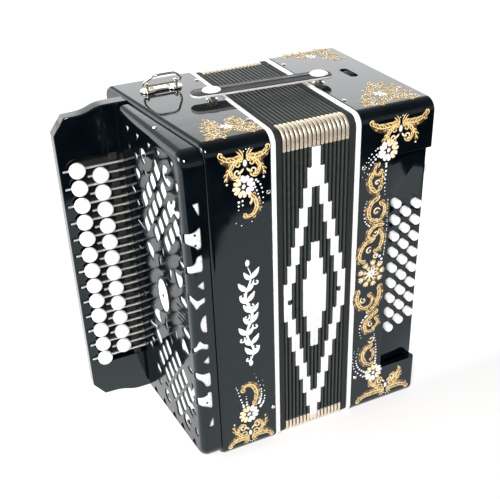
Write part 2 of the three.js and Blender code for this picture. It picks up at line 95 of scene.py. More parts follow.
TREBLE_STUD = (-30.5, 2.2)
BASS_STUD = (76.6, -6.1)
BRACKET_X, BRACKET_Y, PIN_Z = -62.0, 52.0, 345.5
ADJUSTER = (117.0, 5.5, 327.5)
AIR_BUTTON = (-72.0, 262.0)


def end_x(y):
    """The slanted treble end: its x at a depth y."""
    return -79.5 - 26.4 * (y + HALF_DEPTH) / (2 * HALF_DEPTH)


def side_x(y):
    """The pierced cover's outer side: its x at a depth y."""
    return -100.3 - 11.0 * (y + 90) / 133


def key_heights(row):
    return [MID_Z + KEY_PITCH * ((row["count"] - 1) / 2 - k) for k in range(row["count"])]


# ---- mesh tools ----------------------------------------------------------------------------


class Shape:
    """Vertices in millimetres, faces with a material number, and a tone from 0 to 1 for painted work: the
    paint's own lightness plus painted shade and painted highlight across each stroke.
    """

    def __init__(self):
        self.verts, self.tones, self.faces, self.finishes = [], [], [], []

    def add(self, verts, faces, finish=0, tones=None):
        start = len(self.verts)
        self.verts += [tuple(v) for v in verts]
        self.tones += list(tones) if tones else [0.5] * len(verts)
        self.faces += [tuple(start + i for i in face) for face in faces]
        self.finishes += [finish] * len(faces)

    def loft(self, rings, finish=0, caps=True, wrap=False, tones=None):
        """Joins rings of equally many points; caps close the first and last, wrap joins them."""
        count = len(rings[0])
        verts = [p for ring in rings for p in ring]
        faces = []
        for i in range(len(rings) if wrap else len(rings) - 1):
            here, there = i * count, (i + 1) % len(rings) * count
            for j in range(count):
                k = (j + 1) % count
                faces.append((here + j, here + k, there + k, there + j))
        if caps and not wrap:
            faces.append(tuple(range(count)))
            faces.append(tuple(range((len(rings) - 1) * count, len(rings) * count)))
        self.add(verts, faces, finish, tones)

    def slab(self, outline, low, high, edge, place, finish=0, steps=3):
        """A flat outline given thickness, with both rims rounded by edge."""
        rings = []
        for inset, depth in round_steps(edge, steps):
            rings.append([place(u, v, low + depth) for u, v in inset_outline(outline, inset)])
        for inset, depth in reversed(round_steps(edge, steps)):
            rings.append([place(u, v, high - depth) for u, v in inset_outline(outline, inset)])
        self.loft(rings, finish)

    def turned(self, profile, place, finish=0, sides=32):
        """A turned shape: profile is (radius, height) pairs, and place maps (u, v, height)."""
        rings = []
        for radius, height in profile:
            rings.append([place(*polar(0, 0, radius, a), height) for a in around(sides)])
        self.loft(rings, finish)

    def tube(self, path, radius, finish=0, sides=12, closed=False):
        """A round bar along a path of points, carried without twist."""
        points = [Vector(p) for p in path]
        count = len(points)
        up = None
        rings = []
        for i, point in enumerate(points):
            before = points[i - 1] if i or closed else point
            after = points[(i + 1) % count] if i < count - 1 or closed else point
            tangent = (after - before).normalized()
            if up is None:
                up = tangent.orthogonal()
            up = (up - tangent * up.dot(tangent)).normalized()
            side = tangent.cross(up)
            rings.append([
                point + up * radius * math.cos(a) + side * radius * math.sin(a) for a in around(sides)
            ])
        self.loft(rings, finish, wrap=closed)

    def piece(self, name, body, finishes, slot=None, replaces=(), sharp=35.0, even=False):
        """Makes the Blender object, in metres, and puts it on its body; body None leaves it free."""
        mesh = bpy.data.meshes.new(name)
        mesh.from_pydata([(x * MM, y * MM, z * MM) for x, y, z in self.verts], [], self.faces)
        for finish in finishes:
            mesh.materials.append(finish)
        mesh.polygons.foreach_set("material_index", self.finishes)
        tone = mesh.attributes.new("tone", "FLOAT", "POINT")
        tone.data.foreach_set("value", self.tones)
        with editing(mesh) as tidy:
            bmesh.ops.remove_doubles(tidy, verts=tidy.verts, dist=MERGE_M)
            bmesh.ops.dissolve_degenerate(tidy, dist=MERGE_M, edges=tidy.edges)
            bmesh.ops.recalc_face_normals(tidy, faces=tidy.faces)
        obj = add_object(name, mesh)
        smooth(obj, sharp)
        if even:
            even_normals(obj)
        return mount(obj, body, slot, *replaces)


MERGE_M = 1e-7


@contextmanager
def editing(mesh):
    """Opens a mesh for bmesh edits and writes them back."""
    tidy = bmesh.new()
    tidy.from_mesh(mesh)
    yield tidy
    tidy.to_mesh(mesh)
    tidy.free()


def add_object(name, data):
    obj = bpy.data.objects.new(name, data)
    bpy.context.scene.collection.objects.link(obj)
    return obj


def mount(obj, body, slot, *replaces):
    """Puts a piece on its body and hides the CAD nodes that it stands for; slot is not used."""
    if body:
        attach(obj, body)
    if replaces:
        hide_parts(*replaces)
    return obj


def smooth(obj, sharp):
    obj.data.polygons.foreach_set("use_smooth", [True] * len(obj.data.polygons))
    obj.data.set_sharp_from_angle(angle=math.radians(sharp))
    obj.data.update()


def bake_modifiers(obj):
    """Replaces an object's mesh with the result of its modifiers."""
    graph = bpy.context.evaluated_depsgraph_get()
    made = bpy.data.meshes.new_from_object(obj.evaluated_get(graph))
    obj.modifiers.clear()
    obj.data = made


def even_normals(obj):
    """Keeps large flat faces flat in the light where they run into a rounding."""
    weigh = obj.modifiers.new("normals", "WEIGHTED_NORMAL")
    weigh.keep_sharp = True
    weigh.weight = 100
    bake_modifiers(obj)


def round_edges(obj, width, segments=2, angle=50.0):
    bevel = obj.modifiers.new("edge", "BEVEL")
    bevel.width = width * MM
    bevel.segments = segments
    bevel.limit_method = "ANGLE"
    bevel.angle_limit = math.radians(angle)
    bake_modifiers(obj)
    smooth(obj, 40)
    even_normals(obj)


def pierced(name, outer, holes, low, high, edge, place, finish):
    """A flat plate with clean round-edged holes, from y = low to y = high."""
    curve = bpy.data.curves.new(name, "CURVE")
    curve.dimensions = "2D"
    curve.fill_mode = "BOTH"
    curve.extrude = ((high - low) / 2 - edge) * MM
    curve.bevel_depth = edge * MM
    curve.bevel_resolution = 1
    curve.offset = -edge * MM
    for outline in (outer, *holes):
        spline = curve.splines.new("POLY")
        spline.points.add(len(outline) - 1)
        for point, (u, v) in zip(spline.points, outline):
            point.co = (u * MM, v * MM, 0, 1)
        spline.use_cyclic_u = True
    flat = add_object(name, curve)
    mesh = bpy.data.meshes.new_from_object(flat.evaluated_get(bpy.context.evaluated_depsgraph_get()))
    bpy.data.objects.remove(flat)
    for vert in mesh.vertices:
        u, v, w = (c / MM for c in vert.co)
        vert.co = Vector(place(u, v, (low + high) / 2 + w)) * MM
    with editing(mesh) as tidy:
        bmesh.ops.remove_doubles(tidy, verts=tidy.verts, dist=MERGE_M)
        bmesh.ops.recalc_face_normals(tidy, faces=tidy.faces)
    mesh.materials.clear()
    mesh.materials.append(finish)
    obj = add_object(name, mesh)
    smooth(obj, 35)
    return obj


def carve(obj, cutter_shape):
    """Cuts a shape of closed, separate blocks out of an object."""
    cutter = cutter_shape.piece("cutter", None, [])
    cut = obj.modifiers.new("cut", "BOOLEAN")
    cut.operation = "DIFFERENCE"
    cut.solver = "EXACT"
    cut.use_self = True
    cut.object = cutter
    bake_modifiers(obj)
    with editing(obj.data) as tidy:
        bmesh.ops.triangulate(tidy, faces=[f for f in tidy.faces if len(f.verts) > 4])
    mesh = cutter.data
    bpy.data.objects.remove(cutter)
    bpy.data.meshes.remove(mesh)


def around(count):
    """Angles spaced evenly round a full turn."""
    return [math.tau * k / count for k in range(count)]


def quarter(steps):
    """Angles over a quarter turn, with both ends."""
    return [math.pi / 2 * k / steps for k in range(steps + 1)]


def polar(u, v, radius, a):
    return (u + radius * math.cos(a), v + radius * math.sin(a))


def arc(u, v, radius, start, sweep, steps):
    """Points on a round about (u, v), from the angle start over sweep, in degrees."""
    return [polar(u, v, radius, math.radians(start + sweep * k / steps)) for k in range(steps + 1)]


def round_steps(radius, steps):
    """(inset, depth) along a quarter round, from the flat face outwards."""
    if radius <= 0:
        return [(0.0, 0.0)]
    return [(radius * (1 - math.sin(a)), radius * (1 - math.cos(a))) for a in quarter(steps)]


def inset_outline(points, inset):
    """An outline moved inwards by inset, corner by corner. It runs anticlockwise."""
    if inset == 0:
        return list(points)
    moved = []
    count = len(points)
    for i, (u, v) in enumerate(points):
        u0, v0 = points[i - 1]
        u1, v1 = points[(i + 1) % count]
        a = Vector((u - u0, v - v0)).normalized()
        b = Vector((u1 - u, v1 - v)).normalized()
        normal = Vector((-a.y - b.y, a.x + b.x))
        if normal.length < 1e-6:
            normal = Vector((-a.y, a.x))
        normal.normalize()
        share = max(0.5, normal.dot(Vector((-a.y, a.x))))
        moved.append((u + normal.x * inset / share, v + normal.y * inset / share))
    return moved


def rounded_rect(u0, v0, u1, v1, radius, steps=8):
    corners = (
        (u1 - radius, v0 + radius, -90),
        (u1 - radius, v1 - radius, 0),
        (u0 + radius, v1 - radius, 90),
        (u0 + radius, v0 + radius, 180),
    )
    points = []
    for cu, cv, start in corners:
        points += arc(cu, cv, radius, start, 90, steps)
    return points


def casing_outline(inset=0.0):
    """The (y, z) outline that casings and bellows share, shrunk evenly."""
    radius = max(CORNER - inset, 1.5)
    return rounded_rect(-HALF_DEPTH + inset, inset, HALF_DEPTH - inset, HEIGHT - inset, radius)


def softened(points, rounds=2, share=0.25):
    """Cuts the corners of an outline until it looks round."""
    for _ in range(rounds):
        cut = []
        for (u0, v0), (u1, v1) in zip(points, points[1:] + points[:1]):
            cut.append((u0 + (u1 - u0) * share, v0 + (v1 - v0) * share))
            cut.append((u1 - (u1 - u0) * share, v1 - (v1 - v0) * share))
        points = cut
    return points


def curve_through(points, per=6):
    """A smooth open path through given points."""
    ends = [points[0], *points, points[-1]]
    path = []
    for i in range(1, len(ends) - 2):
        p0, p1, p2, p3 = ends[i - 1 : i + 3]
        for k in range(per):
            t = k / per
            path.append(tuple(
                0.5 * (
                    2 * b + (c - a) * t + (2 * a - 5 * b + 4 * c - d) * t * t + (3 * b - a - 3 * c + d) * t**3
                )
                for a, b, c, d in zip(p0, p1, p2, p3)
            ))
    path.append(tuple(points[-1]))
    return path


def block(shape, x0, x1, y0, y1, z0, z1):
    shape.loft([[(x, y0, z0), (x, y1, z0), (x, y1, z1), (x, y0, z1)] for x in (x0, x1)])


# Where a flat drawing (u, v) with its thickness or rise w lies in space.
def along_x(u, v, w):
    return (w, u, v)


def along_y(u, v, w):
    return (u, w, v)


def along_z(u, v, w):
    return (u, v, w)


def on_front(u, v, w):
    return (u, FRONT_Y - w, v)


def on_top(u, v, w):
    return (u, v, HEIGHT + w)


def facing_front(x, y, z):
    """Maps (u, v, height) to a point at (x, y, z) whose height grows towards the front, -Y."""
    return lambda u, v, h: (x + u, y - h, z + v)


def facing_back(x, y, z):
    return lambda u, v, h: (x + u, y + h, z - v)


def facing_up(x, y, z):
    return lambda u, v, h: (x + u, y + v, z + h)


def facing_end(x, y, z):
    """Height grows towards the bass end, +X."""
    return lambda u, v, h: (x + h, y + u, z + v)


# ---- materials -----------------------------------------------------------------------------


def set_inputs(node, **levels):
    """Sets a node's plain inputs; an underscore in a name stands for a space."""
    for name, level in levels.items():
        node.inputs[name.replace("_", " ")].default_value = level
    return node


class Finish:
    """One procedural material, built node by node."""

    def __init__(self, name, color, roughness, metallic=0.0, coat=0.0):
        self.material = bpy.data.materials.new(name)
        self.material.use_nodes = True
        self.tree = self.material.node_tree
        self.shader = self.tree.nodes["Principled BSDF"]
        self.set(Base_Color=(*color, 1), Roughness=roughness, Metallic=metallic)
        self.set(Coat_Weight=coat, Coat_Roughness=0.05)
        self.place = self.node("ShaderNodeTexCoord").outputs["Object"]

    def set(self, **levels):
        set_inputs(self.shader, **levels)

    def node(self, kind, **values):
        made = self.tree.nodes.new(kind)
        for name, value in values.items():
            setattr(made, name, value)
        return made

    def link(self, source, target):
        self.tree.links.new(source, target)

    def noise(self, per_metre, detail=3.0, distortion=0.0, roughness=0.5, squeeze=None):
        texture = self.node("ShaderNodeTexNoise")
        set_inputs(texture, Scale=per_metre, Detail=detail, Distortion=distortion, Roughness=roughness)
        source = self.place
        if squeeze:
            mapping = set_inputs(self.node("ShaderNodeMapping"), Scale=squeeze)
            self.link(source, mapping.inputs["Vector"])
            source = mapping.outputs["Vector"]
        self.link(source, texture.inputs["Vector"])
        return texture.outputs["Fac"]

    def cells(self, per_metre, feature="F1"):
        texture = set_inputs(self.node("ShaderNodeTexVoronoi", feature=feature), Scale=per_metre)
        self.link(self.place, texture.inputs["Vector"])
        return texture.outputs["Distance"]

    def color(self, source, *stops):
        ramp = self.node("ShaderNodeValToRGB")
        fill_ramp(ramp, stops)
        self.link(source, ramp.inputs["Fac"])
        self.link(ramp.outputs["Color"], self.shader.inputs["Base Color"])

    def roughness(self, source, low, high):
        span = self.node("ShaderNodeMapRange")
        set_inputs(span, From_Min=0.3, From_Max=0.7, To_Min=low, To_Max=high)
        self.link(source, span.inputs["Value"])
        self.link(span.outputs["Result"], self.shader.inputs["Roughness"])

    def bump(self, source, strength, distance):
        bump = set_inputs(self.node("ShaderNodeBump"), Strength=strength, Distance=distance)
        self.link(source, bump.inputs["Height"])
        self.link(bump.outputs["Normal"], self.shader.inputs["Normal"])

    def math(self, operation, a, b):
        made = self.node("ShaderNodeMath", operation=operation)
        for source, socket in zip((a, b), made.inputs):
            if isinstance(source, (int, float)):
                socket.default_value = source
            else:
                self.link(source, socket)
        return made.outputs["Value"]


def fill_ramp(ramp, stops):
    """Gives a colour ramp its stops, as (position, colour) pairs."""
    elements = ramp.color_ramp.elements
    for element, (at, color) in zip(elements, (stops[0], stops[-1])):
        element.position = at
        element.color = (*color, 1)
    for at, color in stops[1:-1]:
        elements.new(at).color = (*color, 1)


def lacquer_finish():
    """Deep black polished lacquer with faint waviness and hand smudges."""
    finish = Finish("black_lacquer", (0.0015, 0.003, 0.0045), 0.06)
    finish.set(Specular_Tint=(0.86, 1.0, 1.06, 1))
    smudge = finish.noise(38, 4.0, 0.6)
    finish.color(smudge, (0.35, (0.001, 0.0022, 0.0034)), (0.7, (0.0022, 0.0042, 0.006)))
    finish.roughness(smudge, 0.03, 0.1)
    finish.bump(finish.noise(60, 1.0), 0.02, 0.002)
    return finish.material


def pearl_finish():
    """White pearl plastic: soft clouds of warm and cool white under a clear gloss."""
    finish = Finish("pearl_plastic", (0.9, 0.89, 0.86), 0.22, coat=0.5)
    cloud = finish.noise(260, 3.0, 2.5)
    finish.color(cloud, (0.3, (0.86, 0.85, 0.83)), (0.5, (0.95, 0.945, 0.93)), (0.7, (0.9, 0.9, 0.92)))
    finish.roughness(finish.noise(400, 2.0), 0.16, 0.3)
    return finish.material


def celluloid_finish():
    finish = Finish("white_celluloid", (0.88, 0.88, 0.87), 0.3, coat=0.3)
    finish.color(finish.noise(120, 3.0, 1.0), (0.35, (0.84, 0.84, 0.83)), (0.65, (0.93, 0.93, 0.925)))
    finish.roughness(finish.noise(300), 0.22, 0.4)
    return finish.material


def cloth_finish(name, dark, light, sheen, roughness=0.7):
    """Woven cloth: fine crossing threads, a slight mottle and a soft sheen."""
    finish = Finish(name, light, roughness)
    finish.set(Sheen_Weight=sheen)
    finish.color(finish.noise(180, 5.0, 0.2, 0.65), (0.3, dark), (0.7, light))
    threads = []
    for direction, scale in (("Z", 520), ("DIAGONAL", 430)):
        wave = finish.node("ShaderNodeTexWave", wave_type="BANDS", bands_direction=direction)
        set_inputs(wave, Scale=scale, Distortion=0.6)
        finish.link(finish.place, wave.inputs["Vector"])
        threads.append(wave.outputs["Fac"])
    finish.bump(finish.math("MULTIPLY", *threads), 0.35, 0.0002)
    return finish.material


def metal_finish(name, color, low, high, grain=(1, 1, 1), plating=1.0):
    """Plated metal with fine brushing and a little tarnish."""
    finish = Finish(name, color, (low + high) / 2, metallic=plating)
    darker = tuple(c * 0.82 for c in color)
    finish.color(finish.noise(220, 4.0, 0.5), (0.35, darker), (0.6, color))
    brushing = finish.noise(900, 2.0, squeeze=grain)
    finish.roughness(brushing, low, high)
    finish.bump(brushing, 0.06, 0.0001)
    return finish.material


def leather_finish():
    """Dark grey strap leather with a pebbled grain and worn lighter high spots."""
    finish = Finish("strap_leather", (0.03, 0.031, 0.034), 0.5)
    wear = finish.noise(90, 5.0, 0.4, 0.6)
    finish.color(wear, (0.3, (0.02, 0.021, 0.024)), (0.7, (0.06, 0.062, 0.068)))
    finish.roughness(wear, 0.38, 0.6)
    finish.bump(finish.cells(900, "DISTANCE_TO_EDGE"), 0.5, 0.00025)
    return finish.material


def cut_edge_finish():
    finish = Finish("raw_leather_edge", (0.75, 0.73, 0.69), 0.75)
    finish.color(finish.noise(500, 4.0), (0.3, (0.66, 0.63, 0.58)), (0.7, (0.85, 0.84, 0.81)))
    finish.bump(finish.noise(900, 3.0), 0.3, 0.0002)
    return finish.material


def silver_cloth_finish():
    """Silvery speckled cloth behind the pierced cover."""
    finish = Finish("silver_cloth", (0.8, 0.8, 0.8), 0.55, metallic=0.1)
    speck = finish.cells(420)
    finish.color(speck, (0.06, (0.3, 0.3, 0.31)), (0.2, (0.74, 0.73, 0.73)), (0.6, (0.88, 0.88, 0.88)))
    finish.bump(finish.noise(800, 3.0), 0.4, 0.0002)
    return finish.material


def felt_finish(name, dark, light):
    finish = Finish(name, light, 0.95)
    finish.set(Sheen_Weight=0.04)
    finish.color(finish.noise(420, 6.0, 0.3, 0.75), (0.3, dark), (0.7, light))
    finish.bump(finish.noise(1500, 4.0), 0.6, 0.0003)
    return finish.material


def spruce_finish():
    finish = Finish("spruce", (0.55, 0.36, 0.18), 0.65)
    grain = finish.noise(110, 4.0, 0.3, squeeze=(6, 6, 0.4))
    finish.color(grain, (0.35, (0.42, 0.25, 0.11)), (0.65, (0.66, 0.46, 0.25)))
    finish.bump(grain, 0.15, 0.0003)
    return finish.material


def paint_finish(name, dark, middle, light, blotch):
    """Hand-laid paint with brushed blotches; the tone gives painted shade at the edge of each stroke and a
    painted highlight on its crown.
    """
    finish = Finish(name, middle, 0.3, coat=0.6)
    tone = finish.node("ShaderNodeAttribute", attribute_name="tone").outputs["Fac"]
    brush = finish.noise(700, 3.0, 1.2)
    spread = finish.math("MULTIPLY", finish.math("SUBTRACT", brush, 0.5), blotch)
    finish.color(finish.math("ADD", tone, spread), (0.02, dark), (0.42, middle), (0.85, light))
    finish.roughness(brush, 0.22, 0.4)
    return finish.material


LACQUER = lacquer_finish()
PEARL = pearl_finish()
CELLULOID = celluloid_finish()
FOLD_CLOTH = cloth_finish("bellows_cloth", (0.004, 0.006, 0.005), (0.01, 0.014, 0.012), 0.0)
TAPE_CLOTH = cloth_finish("binding_tape", (0.015, 0.022, 0.019), (0.034, 0.045, 0.039), 0.05, 0.5)
WHITE_TAPE = cloth_finish("white_tape", (0.82, 0.81, 0.81), (0.93, 0.925, 0.93), 0.1, 0.5)
CORNER_METAL = metal_finish("bellows_corner_nickel", (0.9, 0.78, 0.62), 0.25, 0.4, plating=0.7)
NICKEL = metal_finish("nickel_plate", (0.86, 0.82, 0.74), 0.14, 0.28)
STEEL = metal_finish("lever_steel", (0.9, 0.89, 0.87), 0.22, 0.4, (0.3, 3, 3), 0.8)
DARK_STEEL = metal_finish("blackened_steel", (0.06, 0.06, 0.065), 0.35, 0.55)
LEATHER = leather_finish()
CUT_EDGE = cut_edge_finish()
SILVER_CLOTH = silver_cloth_finish()
FELT = felt_finish("comb_felt", (0.004, 0.005, 0.004), (0.014, 0.015, 0.012))
PALLET_FELT = felt_finish("pallet_felt", (0.1, 0.02, 0.02), (0.22, 0.05, 0.045))
SPRUCE = spruce_finish()

# The ornament's paints, which its strokes take by number.
GOLD, WHITE, CREAM, SHADE = 0, 1, 2, 3
PAINTS = [
    paint_finish("gold_paint", (0.035, 0.014, 0.004), (0.21, 0.1, 0.022), (0.84, 0.62, 0.27), 1.3),
    paint_finish("white_paint", (0.35, 0.33, 0.4), (0.86, 0.85, 0.88), (0.97, 0.96, 0.96), 0.5),
    paint_finish("cream_paint", (0.12, 0.06, 0.02), (0.5, 0.34, 0.15), (0.93, 0.82, 0.56), 1.1),
    paint_finish("umber_paint", (0.012, 0.007, 0.004), (0.035, 0.018, 0.008), (0.08, 0.04, 0.015), 0.8),
]


# ---- treble side ---------------------------------------------------------------------------
END_ROUND = 4.5


def treble_ring(inset, shift):
    return [(end_x(y) + shift, y, z) for y, z in casing_outline(inset)]


def flat_ring(x, inset):
    return [(x, y, z) for y, z in casing_outline(inset)]


def stud(shape, at, finish):
    profile = (
        (5.6, -0.5), (5.6, 0.5), (4.2, 0.9), (3.4, 1.6), (3.4, 4.2), (4.8, 4.8), (4.8, 5.4), (4.2, 5.7),
    )
    shape.turned(profile, facing_up(at[0], at[1], HEIGHT), finish, 24)


def make_treble_casing():
    shape = Shape()
    inner_x = TREBLE_HIGH.x
    rings = [treble_ring(inset, depth) for inset, depth in round_steps(END_ROUND, 6)]
    rings += [flat_ring(inner_x - 0.5, 0), flat_ring(inner_x, 0.5), flat_ring(inner_x, WALL)]
    rings.append(treble_ring(WALL, WALL))
    shape.loft(rings, 0)
    stud(shape, TREBLE_STUD, 1)
    shape.piece("treble_shell", "treble", [LACQUER, NICKEL], "black_lacquer", ["treble_casing"], even=True)


def board_outline():
    half = [(-119.0, 168.0)]
    for k in range(1, 11):
        t = k / 10
        weights = ((1 - t) ** 3, 3 * t * (1 - t) ** 2, 3 * t * t * (1 - t), t**3)
        bends = ((-119, 168), (-134, 168), (-134, 161.8), (-151, 161.8))
        half.append(tuple(sum(w * b[i] for w, b in zip(weights, bends)) for i in (0, 1)))
    half += [(-160, 161.5), (BOARD_LOW.x, 146)]
    top = [(x, MID_Z + rise) for x, rise in half]
    bottom = [(x, MID_Z - rise) for x, rise in reversed(half)]
    back_x = -93.0
    return [(back_x, MID_Z + 168), *top, *bottom, (back_x, MID_Z - 168)]


def recess_outline():
    """The keys' recess: a scallop and a stub notch beside each outer button, then straight to the casing."""
    scallop = BUTTON_R + 1.6
    edge = [(RECESS_X, RECESS_HIGH)]
    for z in key_heights(OUTER_ROW):
        reach = min(KEY_PITCH / 2, scallop) - 0.01
        for k in range(13):
            dz = reach * math.cos(math.pi * k / 12)
            if k == 6:
                out = OUTER_ROW["x"] - math.sqrt(scallop**2 - 1.6**2)
                edge += [(out, z + 1.6), (-169.6, z + 1.6), (-169.6, z - 1.6), (out, z - 1.6)]
            elif abs(dz) > 1.6:
                edge.append((OUTER_ROW["x"] - math.sqrt(scallop**2 - dz**2), z + dz))
    edge.append((RECESS_X, RECESS_LOW))
    return [*edge, (-85, RECESS_LOW), (-85, RECESS_HIGH)]


def board_piece():
    """The polished fingerboard with its heel; the recess is cut through its front."""
    plate = Shape()
    outline = board_outline()
    plate.slab(outline, 45.0, 60.0, 1.2, along_y, steps=4)
    board = plate.piece("fingerboard_panel", None, [LACQUER, FELT])
    recess = Shape()
    recess.slab(recess_outline(), 40.0, RECESS_FLOOR_Y, 0, along_y)
    carve(board, recess)
    beyond = Shape()
    slant = [(end_x(120) - 0.3, 120), (end_x(-120) - 0.3, -120), (0, -120), (0, 120)]
    beyond.slab(slant, -20, 380, 0, along_z)
    carve(board, beyond)
    round_edges(board, 0.35, 2)
    heel_edge = [(-134, 59), (-104, 59), (-104.9, 88), (-112, 88)]
    heel = Shape()
    heel.slab(list(reversed(heel_edge)), 22, HEIGHT - 22, 1.0, along_z)
    heel.piece("fingerboard_heel", "treble", [LACQUER], "black_lacquer", even=True)
    mount(board, "treble", "black_lacquer", "fingerboard")
    felt = Shape()
    lining = rounded_rect(-156.2, RECESS_LOW + 0.4, -101.2, RECESS_HIGH - 0.4, 0.5, 2)
    felt.slab(lining, RECESS_FLOOR_Y - 0.5, RECESS_FLOOR_Y - 0.02, 0.1, along_y)
    felt.piece("recess_felt", "treble", [FELT], "felt_comb")


def make_lever_comb():
    """Felt-faced posts between the levers, on one bar."""
    shape = Shape()
    levels = sorted(key_heights(OUTER_ROW) + key_heights(INNER_ROW))
    shape.slab(rounded_rect(-122, RECESS_LOW + 0.5, -114, RECESS_HIGH - 0.5, 0.6, 2),
               50.4, RECESS_FLOOR_Y - 0.3, 0.3, along_y)
    gaps = zip([RECESS_LOW - 1.0, *levels], [*levels, RECESS_HIGH + 1.0])
    for below, above in gaps:
        post = rounded_rect(-121.6, below + 1.6, -114.4, above - 1.6, 0.8, 3)
        shape.slab(post, 44.9, 50.6, 0.5, along_y)
    shape.piece("lever_comb_posts", "treble", [FELT], "felt_comb", ["lever_comb"])


def make_key(row, index, z):
    """A pearl button riveted to a steel lever, with its felt-faced pallet under the cover."""
    name = f"{row['name']}_{index + 1:02d}"
    shape = Shape()
    x = row["x"]
    top = LEVER_FRONT_Y - 37.5
    profile = (
        (BUTTON_R - 0.9, 0.0), (BUTTON_R - 0.15, 0.35), (BUTTON_R, 1.1), (BUTTON_R, top - 1.5),
        (BUTTON_R - 0.35, top - 0.65), (BUTTON_R - 1.2, top - 0.15), (BUTTON_R * 0.55, top - 0.05),
        (0.6, top),
    )
    shape.turned(profile, facing_front(x, LEVER_FRONT_Y + 0.1, z), 0, 40)
    stub_x = x - row["stub"]
    pallet_y = row["pallet_y"]
    tip_y = pallet_y - 10
    back = LEVER_FRONT_Y + 1.5
    upper = [
        (stub_x, LEVER_FRONT_Y + 0.5), (stub_x + 0.5, LEVER_FRONT_Y), (PIVOT_X - 4, LEVER_FRONT_Y),
        (PIVOT_X - 1.5, LEVER_FRONT_Y - 0.4), (end_x(40) - 6, 40), (end_x(tip_y) - 6, tip_y),
    ]
    lower = [
        (end_x(tip_y) - 3.6, tip_y), (end_x(42) - 3.6, 42), (PIVOT_X + 3.0, PIVOT_Y + 0.6),
        (PIVOT_X + 1.6, PIVOT_Y + 2.4), (PIVOT_X - 0.6, PIVOT_Y + 2.8), (PIVOT_X - 4, back),
        (stub_x + 0.5, back), (stub_x, back - 0.5),
    ]
    arm = list(reversed([*upper, *lower]))
    shape.slab(arm, z - 0.7, z + 0.7, 0.25, along_z, 1, 2)
    pallet = [
        (end_x(pallet_y + 10) - 3.9, pallet_y + 10), (end_x(tip_y) - 3.9, tip_y),
        (end_x(tip_y) - 1.9, tip_y), (end_x(pallet_y + 10) - 1.9, pallet_y + 10),
    ]
    shape.slab(pallet, z - 6, z + 6, 0.3, along_z, 1, 2)
    facing = [(u + (1.9 if i < 2 else 1.4), v) for i, (u, v) in enumerate(pallet)]
    shape.slab(facing, z - 6, z + 6, 0.3, along_z, 2, 2)
    shape.piece(f"{name}_lever", name, [PEARL, STEEL, PALLET_FELT], "pearl_keys", [name])


# ---- pierced cover -------------------------------------------------------------------------
COVER_ROUND = 7.5
COVER_WALL = 1.7
COVER_MID_Z = 168.0
COVER_BACK_Y = 43.0
CLOTH_LOW, CLOTH_HIGH = 14.0, 322.0


def cover_outline(inset):
    """The cover's (y, z) outline: round at the front, nearly square where it meets the fingerboard."""
    low, high = COVER_LOW.z + inset, COVER_HIGH.z - inset
    front, back = COVER_LOW.y + inset, COVER_BACK_Y - inset
    big, small = 14.0 - inset, max(3.0 - inset * 0.5, 0.8)
    points = []
    for cy, cz, radius, start in (
        (back - small, low + small, small, -90),
        (back - small, high - small, small, 0),
        (front + big, high - big, big, 90),
        (front + big, low + big, big, 180),
    ):
        points += arc(cy, cz, radius, start, 90, 8)
    return points


def petal_hole(u, v, width, height, lean=0.0):
    """A drop-shaped opening, wide above and pointed below, leaning by lean."""
    outline = [(0.0, -0.62), (0.52, 0.05), (0.45, 0.48), (0.0, 0.6), (-0.45, 0.48), (-0.52, 0.05)]
    return softened([(u + du * width + lean * dv * height, v + dv * height) for du, dv in outline], 2, 0.2)


def hook_hole(u, v, outer, inner, start):
    """A broad curl: a ring-shaped opening left closed on one side, so that its middle stays held."""
    outside, inside_edge = (arc(u, v, radius, start, 285.0, 18) for radius in (outer, inner))
    return outside + inside_edge[::-1]


def side_holes():
    """Openings of the cover's side, for its upper half: u from the back edge, v above mid height."""
    along, across = (-11.8, -13.6), (10.6, -13.6)
    holes = []
    for i in range(-1, 4):
        for j in range(5):
            u = 74 + i * along[0] + j * across[0]
            v = 120 + i * along[1] + j * across[1]
            if u < 46 or u > 120 or v < 58 or (u > 108 and v < 70):
                continue
            corners = [
                (u + s * along[0] + t * across[0], v + s * along[1] + t * across[1])
                for s, t in ((-0.43, -0.39), (0.43, -0.39), (0.43, 0.39), (-0.43, 0.39))
            ]
            holes.append(softened(corners, 2, 0.14))
    for u, width in ((24, 13), (47, 12), (72, 12), (92, 12), (119, 11)):
        holes.append(softened([(u - width / 2, 157), (u + width / 2, 157), (u, 148.5)], 1, 0.12))
    holes += [hook_hole(*hook) for hook in (
        (58, 138, 8.0, 2.2, 20), (106, 138, 9.8, 2.6, 60), (120, 112, 8.6, 2.0, 80),
    )]
    holes += [petal_hole(*petal) for petal in (
        (84, 138, 8, 13), (126, 134, 8, 10, 0.2), (25, 135, 6, 7), (40, 131, 8, 8), (39, 113, 13, 11),
        (58, 122, 9, 4), (73, 34, 6, 15), (95, 33, 7, 14, 0.15), (82, 49, 6, 13), (24, 91, 12, 7, -0.5),
        (32, 80, 10, 7, -0.4), (22, 27, 9, 5),
    )]
    holes += [softened(corners) for corners in (
        [(40, 42), (52, 47), (62, 42), (57, 33), (60, 27), (48, 31), (44, 36)],
        [(104, 47), (112, 43), (124, 46), (122, 36), (112, 26), (106, 35)],
        [(20, 58), (40, 55), (50, 52), (46, 58), (28, 62)],
        [(116, 58), (124, 55), (129, 58), (129, 62), (121, 62)],
        [(119, 88), (128, 92), (129, 76), (123, 72), (125, 80)],
        [(112, 22), (128, 22), (129, 13), (113, 12)],
    )]
    holes.append(rounded_rect(105, 6.4, 129.5, 8.6, 0.9, 2))
    holes.append(rounded_rect(108, 1.6, 129.5, 3.8, 0.9, 2))
    return holes


STRIP_EDGE_X = -86.6


